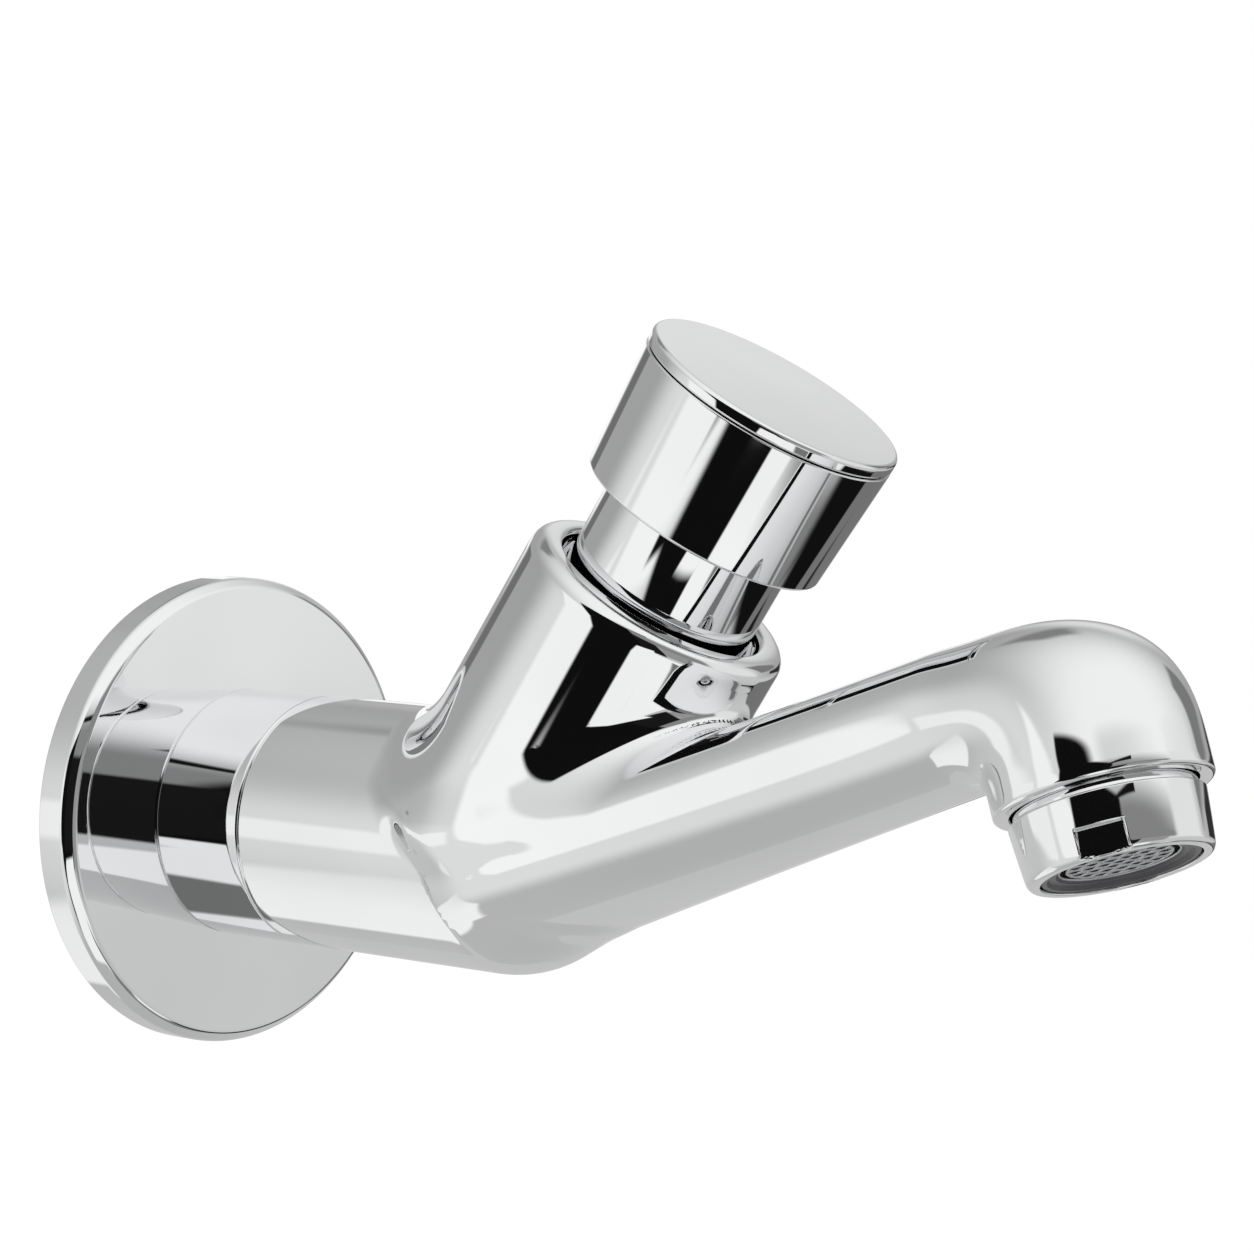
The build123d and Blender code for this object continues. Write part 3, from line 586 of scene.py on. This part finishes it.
# %% Cup and top plate
CUP_FOOT_RADIUS, CUP_RADIUS, CUP_BORE = 17.9, 19.0, 14.7
PLATE_TOP, CROWN = 76.2, 1500.0
turned("button_cup", (
    (CUP_BORE, 55.1, 0.3), (CUP_FOOT_RADIUS, 55.1, 0.45), (CUP_RADIUS, 73.85, 0.25), (15.65, 73.85, 0),
    (15.65, 70.8, 0), (3.05, 70.8, 0), (3.05, 67.85, 0), (CUP_BORE, 67.85, 0.3)),
    TOWER, "button", "push_cap")
crown = [(radius, PLATE_TOP - radius ** 2 / CROWN, 0) for radius in range(0, 18, 2)]
turned("button_top", (
    *crown, (CUP_RADIUS, PLATE_TOP - CUP_RADIUS ** 2 / CROWN, 0.7), (CUP_RADIUS, 74.15, 0.25),
    (18.5, 73.95, 0.1),
    (15.6, 73.9, 0), (15.6, 71.7, 0.2), (14.0, 71.7, 0.2), (14.0, 73.9, 0), (0, 73.9, 0)),
    TOWER, "button", "button_plate")

# %% [markdown]
# ## Return spring
# Inside the neck a steel spring lifts the button again. It is one wire wound round seven times. A curve
# with a bevel would do as well, but one circle spun with a climb is a single step.

# %% Return spring
WIRE_POINTS, TURN_STEPS = 12, 48
WIRE_HALF, SPRING_RADIUS, SPRING_TURNS = 0.7, 6.6, 7
SPRING_FOOT, SPRING_TOP, BUTTON_TRAVEL = 31.0, 53.8, 6.0
coil = bmesh.new()
bmesh.ops.create_circle(coil, segments=WIRE_POINTS, radius=WIRE_HALF, matrix=tilted(90))
bmesh.ops.translate(coil, vec=(SPRING_RADIUS, 0, SPRING_FOOT + WIRE_HALF), verts=coil.verts[:])
coil_steps = SPRING_TURNS * TURN_STEPS
climb = (SPRING_TOP - SPRING_FOOT - 2 * WIRE_HALF) / coil_steps
bmesh.ops.spin(coil, geom=coil.verts[:] + coil.edges[:], cent=(0, 0, 0), axis=(0, 0, 1), dvec=(0, 0, climb),
               angle=math.tau * SPRING_TURNS, steps=coil_steps)
bmesh.ops.holes_fill(coil, edges=coil.edges[:])
bmesh.ops.recalc_face_normals(coil, faces=coil.faces[:])
print("open edges in the coil:", sum(len(edge.link_faces) != 2 for edge in coil.edges))
bmesh.ops.transform(coil, matrix=TOWER, verts=coil.verts[:])
coil = make_piece("button_spring", coil, "tap", "return_spring")
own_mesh(coil)

# %% [markdown]
# ## Aerator ring
# The ring that holds the aerator is a short cone with a fine thread above it. Two flat pockets at its
# lower edge take a spanner. The ring is turned first, as a blank.

# %% Ring blank
WRENCH_TURN = 155.0
WRENCH_WIDTH, WRENCH_HEIGHT, WRENCH_DEPTH = 6.2, 3.9, 0.75
RING_RADIUS, RING_END, RING_BORE = 12.29, 8.2, 10.5
RING_STEPS = 120


def loose_object(name, bm):
    """Object that is only used to make another one."""
    mesh = bpy.data.meshes.new(name)
    bm.to_mesh(mesh)
    bm.free()
    thing = bpy.data.objects.new(name, mesh)
    bpy.context.scene.collection.objects.link(thing)
    return thing


blank = bmesh.new()
draw_outline(blank, (
    (RING_BORE, RING_END, 0.2), (11.72, RING_END, 0.3), (12.17, 7.55, 0.3), (RING_RADIUS, 6.6, 0),
    (12.5, 4.3, 0), (12.85, 0.0, 0.25), (12.0, 0.0, 0.1), (12.0, -6.0, 0.3), (RING_BORE, -6.0, 0.2)))
spin_round(blank, RING_STEPS)
blank = loose_object("ring blank", blank)

# %% [markdown]
# The pockets are cut with a boolean, as a milling cutter would. They could be drawn into the outline
# only if they ran all round. A narrow bevel breaks every edge of the cut, because it is the broken edge
# that shines. Its width isn't held back by the small facets beside it.

# %% Spanner pockets
CUTTER_DEPTH = 4.0
BROKEN_EDGE, SHARP_ANGLE = 0.26, 40
cutter = bmesh.new()
for side in (0, 180):
    block = bmesh.ops.create_cube(cutter, size=1)["verts"]
    bmesh.ops.scale(cutter, vec=(CUTTER_DEPTH, WRENCH_WIDTH, 2 * WRENCH_HEIGHT), verts=block)
    bmesh.ops.translate(cutter, vec=(RING_RADIUS - WRENCH_DEPTH + CUTTER_DEPTH / 2, 0, RING_END),
                        verts=block)
    bmesh.ops.rotate(cutter, matrix=Matrix.Rotation(math.radians(WRENCH_TURN + side), 3, "Z"), verts=block)
cutter = loose_object("spanner cutter", cutter)
cut = blank.modifiers.new("Pockets", "BOOLEAN")
cut.operation = "DIFFERENCE"
cut.solver = "EXACT"
cut.object = cutter
ring_mesh = bpy.data.meshes.new_from_object(blank.evaluated_get(bpy.context.evaluated_depsgraph_get()))
bpy.data.objects.remove(blank)
bpy.data.objects.remove(cutter)
ring = bmesh.new()
ring.from_mesh(ring_mesh)
bmesh.ops.transform(ring, matrix=OUTLET, verts=ring.verts[:])
ring_piece = make_piece("aerator_ring", ring, "tap", "aerator_housing")
broken = ring_piece.modifiers.new("Broken edges", "BEVEL")
broken.width = BROKEN_EDGE * MM
broken.segments = 3
broken.use_clamp_overlap = False
broken.limit_method = "ANGLE"
broken.angle_limit = math.radians(SHARP_ANGLE)
broken.harden_normals = True

# %% [markdown]
# ## Aerator insert and screen
# A dark plastic cup fills the ring. Its face steps inwards, and each step has a narrow bevel that
# catches the light. On a real tap it is moulded, and here it is turned.

# %% Insert
INSERT_RADIUS, INSERT_BORE, INSERT_FACE = 10.35, 8.0, 7.9
turned("aerator_cup", (
    (9.6, INSERT_FACE, 0.12), (9.25, INSERT_FACE - 0.5, 0.15), (INSERT_BORE + 0.35, INSERT_FACE - 0.5, 0.1),
    (INSERT_BORE, INSERT_FACE - 0.85, 0.1), (INSERT_BORE, -4.0, 0.1), (9.6, -4.0, 0), (9.6, -5.4, 0.1),
    (INSERT_RADIUS, -5.4, 0.1), (INSERT_RADIUS, INSERT_FACE, 0.25)),
    OUTLET, "tap", "aerator_insert")

# %% [markdown]
# The screen closes the cup with rows of small rings that touch each other. A picture of a mesh would
# look flat from below, so every ring is a wire bent round: one is spun and the rows repeat it, with
# larger rings between the rows to hold them.

# %% Screen
SCREEN_HEIGHT = 6.9
WIRE_RADIUS, WIRE_SIDES, WIRE_STEPS = 0.2, 8, 28
SMALL_RING = 0.98
SCREEN_ROWS = ((1, 0.0), (6, 2.0), (12, 3.95), (18, 5.9))
HOLDING_RINGS = (2.95, 4.9, 6.85, 7.9)
screen = bmesh.new()


def add_wire_ring(radius, place):
    """Wire bent into a ring."""
    wire = bmesh.new()
    bmesh.ops.create_circle(wire, segments=WIRE_SIDES, radius=WIRE_RADIUS, matrix=tilted(90))
    bmesh.ops.translate(wire, vec=(radius, 0, 0), verts=wire.verts[:])
    spin_round(wire, WIRE_STEPS)
    bmesh.ops.transform(wire, matrix=place, verts=wire.verts[:])
    mesh = bpy.data.meshes.new("wire")
    wire.to_mesh(mesh)
    wire.free()
    screen.from_mesh(mesh)
    bpy.data.meshes.remove(mesh)


for count, row_radius in SCREEN_ROWS:
    for number in range(count):
        around = Matrix.Rotation(math.tau * number / count, 4, "Z")
        add_wire_ring(SMALL_RING, around @ Matrix.Translation((row_radius, 0, SCREEN_HEIGHT)))
for row_radius in HOLDING_RINGS:
    add_wire_ring(row_radius, Matrix.Translation((0, 0, SCREEN_HEIGHT)))
bmesh.ops.transform(screen, matrix=OUTLET, verts=screen.verts[:])
make_piece("aerator_screen", screen, "tap", "aerator_mesh")

# %% [markdown]
# ## Finishes
# Every finish is a procedural material on object coordinates, so it stays on its piece when the button
# moves. Effects that several finishes share are node groups, and helpers build their usual nodes.

# %% Node helpers
def new_group(name, inputs, outputs):
    """Empty shader node group with named float inputs and outputs."""
    group = bpy.data.node_groups.new(name, "ShaderNodeTree")
    for label, default in inputs.items():
        socket = group.interface.new_socket(label, in_out="INPUT", socket_type="NodeSocketFloat")
        socket.default_value = default
    for label in outputs:
        group.interface.new_socket(label, in_out="OUTPUT", socket_type="NodeSocketFloat")
    return group, group.nodes.new("NodeGroupInput"), group.nodes.new("NodeGroupOutput")


def object_noise(tree, scale, detail=2.0):
    """Noise on object coordinates."""
    where = tree.nodes.new("ShaderNodeTexCoord")
    noise = tree.nodes.new("ShaderNodeTexNoise")
    noise.inputs["Detail"].default_value = detail
    if hasattr(scale, "is_output"):
        tree.links.new(scale, noise.inputs["Scale"])
    else:
        noise.inputs["Scale"].default_value = scale
    tree.links.new(where.outputs["Object"], noise.inputs["Vector"])
    return noise.outputs["Fac"]


# %% [markdown]
# Plating is never quite even. Its roughness drifts a little from place to place, and cast or drawn metal
# under it has a fine ripple. One group gives both, and each finish sets how much of them it shows.

# %% Plating group
RIPPLE_SCALE = 220.0
plating, plating_in, plating_out = new_group(
    "plating", {"Low": 0.03, "High": 0.06, "Scale": 60.0, "Ripple": 0.1}, ("Roughness", "Height"))
spread = plating.nodes.new("ShaderNodeMapRange")
plating.links.new(object_noise(plating, plating_in.outputs["Scale"]), spread.inputs["Value"])
plating.links.new(plating_in.outputs["Low"], spread.inputs["To Min"])
plating.links.new(plating_in.outputs["High"], spread.inputs["To Max"])
plating.links.new(spread.outputs["Result"], plating_out.inputs["Roughness"])
ripple = plating.nodes.new("ShaderNodeMath")
ripple.operation = "MULTIPLY"
plating.links.new(object_noise(plating, RIPPLE_SCALE), ripple.inputs[0])
plating.links.new(plating_in.outputs["Ripple"], ripple.inputs[1])
plating.links.new(ripple.outputs["Value"], plating_out.inputs["Height"])
print("nodes in the plating group:", len(plating.nodes))

# %% [markdown]
# Chrome is close to a mirror, stainless steel and brass are duller, rubber and foam are matt. All come
# from one function, because they differ only in colour, metal, roughness and ripple.

# %% Materials
BUMP_STRENGTH, DARKER = 0.3, 0.85


def finish(name, colour, metallic, low, high, scale, ripple_height, depth=0.00002):
    """Principled material whose roughness and bump come from the plating group."""
    material = bpy.data.materials.new(name)
    material.use_nodes = True
    tree = material.node_tree
    shader = tree.nodes["Principled BSDF"]
    shader.inputs["Metallic"].default_value = metallic
    surface = tree.nodes.new("ShaderNodeGroup")
    surface.node_tree = plating
    for label, value in (("Low", low), ("High", high), ("Scale", scale), ("Ripple", ripple_height)):
        surface.inputs[label].default_value = value
    tree.links.new(surface.outputs["Roughness"], shader.inputs["Roughness"])
    bump = tree.nodes.new("ShaderNodeBump")
    bump.inputs["Distance"].default_value = depth
    bump.inputs["Strength"].default_value = BUMP_STRENGTH
    tree.links.new(surface.outputs["Height"], bump.inputs["Height"])
    tree.links.new(bump.outputs["Normal"], shader.inputs["Normal"])
    tint = tree.nodes.new("ShaderNodeMix")
    tint.data_type = "RGBA"
    tint.inputs["A"].default_value = (*colour, 1)
    tint.inputs["B"].default_value = (*(part * DARKER for part in colour), 1)
    tree.links.new(object_noise(tree, scale * 0.5), tint.inputs["Factor"])
    tree.links.new(tint.outputs["Result"], shader.inputs["Base Color"])
    return material


FINISHES = {
    "chrome": finish("polished_chrome", (0.93, 0.935, 0.94), 1.0, 0.015, 0.03, 60, 0.0),
    "brass": finish("bare_brass", (0.80, 0.62, 0.34), 1.0, 0.22, 0.34, 90, 0.5),
    "steel": finish("stainless_steel", (0.62, 0.63, 0.64), 1.0, 0.25, 0.36, 150, 0.5),
    "nitrile": finish("nitrile_rubber", (0.03, 0.03, 0.032), 0.0, 0.55, 0.7, 120, 1.0),
    "foam": finish("foam_rubber", (0.12, 0.12, 0.125), 0.0, 0.8, 0.95, 400, 1.0, 0.0002),
    "fibre": finish("pressed_fibre", (0.36, 0.12, 0.08), 0.0, 0.6, 0.8, 300, 1.0, 0.0001),
    "acetal": finish("white_acetal", (0.82, 0.82, 0.79), 0.0, 0.38, 0.5, 80, 0.5),
    "dark_plastic": finish("dark_acetal", (0.06, 0.06, 0.065), 0.0, 0.3, 0.42, 80, 0.5)}
slot_of = {part["node"]: part["material_slot"] for part in frame["record"]["subparts"]}
for name, node in frame["nodes"].items():
    node.data.materials.clear()
    node.data.materials.append(FINISHES[slot_of[name]])
for piece in bpy.context.scene.objects:
    if "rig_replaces" in piece:
        replaced = slot_of[list(piece["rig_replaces"])[0]]
        piece.data.materials.append(FINISHES[replaced])
print("finishes:", ", ".join(FINISHES))

# %% [markdown]
# ## Studio
# Chrome has no colour of its own: it shows the room. This room is a pale studio with black, grey and
# white flags hung round the tap, as a photographer hangs them to give polished metal its bands. The
# flags could be planes on stands, but then they would throw shadows and get into other views. So they
# are drawn on the sky, each as four straight edges between corners given by azimuth (0 in front of the
# tap, -90 on its left) and elevation.

# %% Base of the sky
world = bpy.data.worlds.new("studio")
world.use_nodes = True
bpy.context.scene.world = world
sky = world.node_tree
sky.nodes.clear()


def linear(shade):
    """Light level of a shade between black (0) and white (1) as the eye sees it."""
    return ((shade + 0.055) / 1.055) ** 2.4 if shade > 0.04 else shade / 12.92


def toward(azimuth, elevation):
    """Direction from the tap."""
    azimuth, elevation = math.radians(azimuth), math.radians(elevation)
    return Vector((math.sin(azimuth) * math.cos(elevation), -math.cos(azimuth) * math.cos(elevation),
                   math.sin(elevation)))


def remap(tree, value, low, high, first=0.0, last=1.0):
    """Smooth step from one range to another."""
    node = tree.nodes.new("ShaderNodeMapRange")
    node.interpolation_type = "SMOOTHSTEP"
    for label, number in (("From Min", low), ("From Max", high), ("To Min", first), ("To Max", last)):
        if hasattr(number, "is_output"):
            tree.links.new(number, node.inputs[label])
        else:
            node.inputs[label].default_value = number
    tree.links.new(value, node.inputs["Value"])
    return node.outputs["Result"]


def blend_levels(tree, factor, first, second):
    """Level between two levels."""
    node = tree.nodes.new("ShaderNodeMix")
    for label, value in (("Factor", factor), ("A", first), ("B", second)):
        if hasattr(value, "is_output"):
            tree.links.new(value, node.inputs[label])
        else:
            node.inputs[label].default_value = value
    return node.outputs["Result"]


LIT_SIDE = (-0.35, -0.75, 0.55)
direction = sky.nodes.new("ShaderNodeTexCoord").outputs["Generated"]
split = sky.nodes.new("ShaderNodeSeparateXYZ")
sky.links.new(direction, split.inputs["Vector"])
lit_side = sky.nodes.new("ShaderNodeVectorMath")
lit_side.operation = "DOT_PRODUCT"
sky.links.new(direction, lit_side.inputs[0])
lit_side.inputs[1].default_value = LIT_SIDE
above_us = remap(sky, lit_side.outputs["Value"], -0.45, 0.9, linear(0.66), 1.0)
below_us = remap(sky, split.outputs["Z"], 0.0, -1.0, linear(0.82), linear(0.73))
room = blend_levels(sky, remap(sky, split.outputs["Z"], -0.15, 0.15), below_us, above_us)

# %% [markdown]
# A flag's edge is a plane through the tap, so a point of the sky lies inside the flag when it is on the
# inner side of all four planes. A soft edge is a flag hung nearer to the tap.

# %% Flag group
flag = bpy.data.node_groups.new("flag", "ShaderNodeTree")
for label in ("Direction", "Side 1", "Side 2", "Side 3", "Side 4"):
    flag.interface.new_socket(label, in_out="INPUT", socket_type="NodeSocketVector")
flag.interface.new_socket("Soft", in_out="INPUT", socket_type="NodeSocketFloat")
flag.interface.new_socket("Mask", in_out="OUTPUT", socket_type="NodeSocketFloat")
flag_in, flag_out = flag.nodes.new("NodeGroupInput"), flag.nodes.new("NodeGroupOutput")
edges = []
for factor in (-0.5, 0.5):
    half = flag.nodes.new("ShaderNodeMath")
    half.operation = "MULTIPLY"
    flag.links.new(flag_in.outputs["Soft"], half.inputs[0])
    half.inputs[1].default_value = factor
    edges.append(half.outputs["Value"])
inside = None
for label in ("Side 1", "Side 2", "Side 3", "Side 4"):
    over = flag.nodes.new("ShaderNodeVectorMath")
    over.operation = "DOT_PRODUCT"
    flag.links.new(flag_in.outputs["Direction"], over.inputs[0])
    flag.links.new(flag_in.outputs[label], over.inputs[1])
    step = remap(flag, over.outputs["Value"], *edges)
    if inside:
        both = flag.nodes.new("ShaderNodeMath")
        both.operation = "MULTIPLY"
        flag.links.new(inside, both.inputs[0])
        flag.links.new(step, both.inputs[1])
        step = both.outputs["Value"]
    inside = step
flag.links.new(inside, flag_out.inputs["Mask"])
print("nodes in the flag group:", len(flag.nodes))


def hang_flag(room, corners, soft, shade):
    """Room with one more flag in it."""
    corners = [toward(*corner) for corner in corners]
    middle = sum(corners, Vector())
    node = sky.nodes.new("ShaderNodeGroup")
    node.node_tree = flag
    sky.links.new(direction, node.inputs["Direction"])
    for count, (first, second) in enumerate(zip(corners, corners[1:] + corners[:1]), 1):
        side = first.cross(second).normalized()
        node.inputs[f"Side {count}"].default_value = side if side.dot(middle) > 0 else -side
    node.inputs["Soft"].default_value = soft
    return blend_levels(sky, node.outputs["Mask"], room, linear(shade))


# %% [markdown]
# Each row names a flag and gives its corners, the softness of its edges and its shade from black (0) to
# white (1). A later flag hangs in front of an earlier one.

# %% Flags round the tap
FLAGS = (
    ("white floor behind", ((-141, -29), (-141, -60), (165, -68), (165, -38)), 0.05, 0.98),
    ("grey above the front", ((-60, 24), (24, 26), (20, 4), (-56, 4)), 0.25, 0.54),
    ("white front right", ((20, 2), (22, 34), (62, 26), (66, 2)), 0.15, 0.93),
    ("grey low front", ((-28, -20), (-26, 8), (10, 8), (8, -20)), 0.1, 0.6),
    ("dark above the right", ((72, 14), (70, 34), (90, 34), (96, 14)), 0.08, 0.5),
    ("dark strip on the right", ((86, 12), (84, 6), (112, 0), (112, 7)), 0.03, 0.2),
    ("light above the right", ((109, 20), (108, 42), (136, 42), (136, 20)), 0.3, 0.9),
    ("dark above the back", ((134, 46), (134, 62), (176, 62), (176, 44)), 0.15, 0.53),
    ("light on the left", ((-146, 16), (-84, 8), (-78, -52), (-150, -48)), 0.55, 0.9),
    ("light under the spout", ((112, -46), (150, -49), (150, -12), (112, -14)), 0.03, 0.78),
    ("white strip on the left", ((-158, -5), (-158, -13), (-128, -16), (-128, -2)), 0.06, 0.98),
    ("white on the left", ((-127, 13), (-101, 5), (-90, -27), (-122, -12)), 0.07, 1),
    ("black on the left", ((-101, 15), (-47, 24.5), (-47, -26), (-98, -20.5)), 0.04, 0.06),
    ("black in front", ((-50, 13), (-27, 12), (-26, -24), (-50, -26)), 0.04, 0.1),
    ("black strip above the front", ((-60, 19), (-26, 33), (-26, 29.5), (-50, 23)), 0.02, 0.08),
    ("black on the left, low", ((-99.5, -15), (-40, -20), (-49, -58), (-76, -42)), 0.04, 0.06),
    ("white floor left", ((-67, -36.6), (-58, -28), (-38, -20), (-46, -44.2)), 0.03, 1),
    ("white floor in front", ((-46.5, -55), (-46, -27), (-2, -28), (-2, -60)), 0.03, 1),
    ("grey floor right", ((-2, -50.5), (60, -36), (60, -58), (-2, -64)), 0.03, 0.52),
    ("grey floor in front", ((-23, -38), (22, -40), (22, -50), (-22, -50.2)), 0.05, 0.48),
    ("white floor right", ((24, -36), (39, -34), (39, -45), (24, -48.6)), 0.03, 0.97),
    ("grey on the right", ((78, -31), (78, -14), (120, 6), (120, -7)), 0.05, 0.47),
    ("black on the right", ((41, -43.5), (41, -35), (80, -21), (83, -29.5)), 0.03, 0.07),
    ("black strip on the right", ((92, -25), (92, -19.5), (124, -3.5), (124, -7)), 0.02, 0.12),
    ("white strip on the right", ((130, 4.2), (129, 14), (153, 17), (153, 9.2)), 0.02, 1),
    ("grey at the back", ((157, 8), (157, 15), (173, 15), (173, 9)), 0.05, 0.45),
)
for _, corners, soft, shade in FLAGS:
    room = hang_flag(room, corners, soft, shade)
print("flags:", len(FLAGS))

# %% [markdown]
# The camera sees plain white behind the tap. Matt surfaces are lit by an even white sky that is a little
# dimmer, so that their colours come out as they are written. Only polished surfaces see the flags.

# %% What each kind of ray sees
SKY_LEVEL, BACKDROP_LEVEL = 0.8, 1.0
seen = sky.nodes.new("ShaderNodeLightPath")
flags_glow = sky.nodes.new("ShaderNodeBackground")
sky.links.new(room, flags_glow.inputs["Color"])
plain_glow = sky.nodes.new("ShaderNodeBackground")
plain_glow.inputs["Color"].default_value = (1, 1, 1, 1)
level = sky.nodes.new("ShaderNodeMapRange")
level.inputs["To Min"].default_value = SKY_LEVEL
level.inputs["To Max"].default_value = BACKDROP_LEVEL
sky.links.new(seen.outputs["Is Camera Ray"], level.inputs["Value"])
sky.links.new(level.outputs["Result"], plain_glow.inputs["Strength"])
shown = sky.nodes.new("ShaderNodeMixShader")
sky.links.new(seen.outputs["Is Glossy Ray"], shown.inputs["Fac"])
sky.links.new(plain_glow.outputs["Background"], shown.inputs[1])
sky.links.new(flags_glow.outputs["Background"], shown.inputs[2])
output = sky.nodes.new("ShaderNodeOutputWorld")
sky.links.new(shown.outputs["Shader"], output.inputs["Surface"])

# %% [markdown]
# A large soft lamp on the left gives the matt pieces and the floor a gentle direction of light. It
# doesn't show in the chrome, where the flags do that work.

# %% Soft lamp
LAMP_PLACE, LAMP_AIM = (-0.8, -1.0, 1.6), (-0.8, -0.9, 1.6)
LAMP_SIZE, LAMP_POWER = 1.2, 14.0
lamp = bpy.data.lights.new("soft lamp", "AREA")
lamp.shape = "DISK"
lamp.size = LAMP_SIZE
lamp.energy = LAMP_POWER
lamp = bpy.data.objects.new("soft lamp", lamp)
lamp_turn = Vector(LAMP_AIM).to_track_quat("Z", "Y").to_matrix().to_4x4()
lamp.matrix_world = Matrix.Translation(LAMP_PLACE) @ lamp_turn
lamp.visible_glossy = False
lamp.visible_camera = False
bpy.context.scene.collection.objects.link(lamp)
print("lamp at", LAMP_PLACE, "of", LAMP_POWER, "W")

# %% [markdown]
# ## Camera
# The picture is taken from the left and slightly below, with a long lens that barely narrows the far
# end. The camera leans a little, as the tap does in the picture.

# %% Camera
FRAME_SIDE = 1254
FOCAL_PIXELS = 4171.57
SENSOR = 36.0
CAMERA_PLACE = (-439.100, -458.888, 13.567)
CLIP_START = 0.01
camera = bpy.data.objects.new("camera", bpy.data.cameras.new("camera"))
bpy.context.scene.collection.objects.link(camera)
camera.data.sensor_width = camera.data.sensor_height = SENSOR
camera.data.lens = FOCAL_PIXELS / FRAME_SIDE * SENSOR
right = Vector((0.64900708, -0.75408853, 0.10069907))
above = Vector((-0.08956056, 0.05571219, 0.99442197))
turn = Matrix((right, above, right.cross(above))).transposed().to_4x4()
camera.matrix_world = Matrix.Translation(Vector(CAMERA_PLACE) * MM) @ turn
camera.data.clip_start = CLIP_START
bpy.context.scene.camera = camera
bpy.context.scene.view_settings.view_transform = "Standard"
print("lens", round(camera.data.lens, 1), "mm")

# %% [markdown]
# ## Floor
# The tap hangs on a wall about a metre above a plain white floor. The floor takes the tap's soft
# shadow. It is left out of the reflections, where the lower half of the sky stands for it.

# %% Floor
FLOOR_RADIUS, FLOOR_LEVEL = 30, -1.0
FLOOR_SHADE, FLOOR_GLOW = 0.9, 0.3
floor_mesh = bmesh.new()
bmesh.ops.create_circle(floor_mesh, cap_ends=True, segments=96, radius=FLOOR_RADIUS)
bmesh.ops.translate(floor_mesh, vec=(0, 0, FLOOR_LEVEL), verts=floor_mesh.verts[:])
floor = loose_object("floor", floor_mesh)
floor.visible_glossy = False
pale = bpy.data.materials.new("pale_floor")
pale.use_nodes = True
shader = pale.node_tree.nodes["Principled BSDF"]
shader.inputs["Base Color"].default_value = (FLOOR_SHADE, FLOOR_SHADE, FLOOR_SHADE, 1)
shader.inputs["Roughness"].default_value = 0.9
shader.inputs["Specular IOR Level"].default_value = 0.0
shader.inputs["Emission Color"].default_value = (1, 1, 1, 1)
shown = pale.node_tree.nodes.new("ShaderNodeLightPath")
share = pale.node_tree.nodes.new("ShaderNodeMath")
share.operation = "MULTIPLY"
share.inputs[1].default_value = FLOOR_GLOW
pale.node_tree.links.new(shown.outputs["Is Camera Ray"], share.inputs[0])
pale.node_tree.links.new(share.outputs["Value"], shader.inputs["Emission Strength"])
floor.data.materials.append(pale)
print("floor", FLOOR_RADIUS, "m across its half, at", FLOOR_LEVEL, "m")
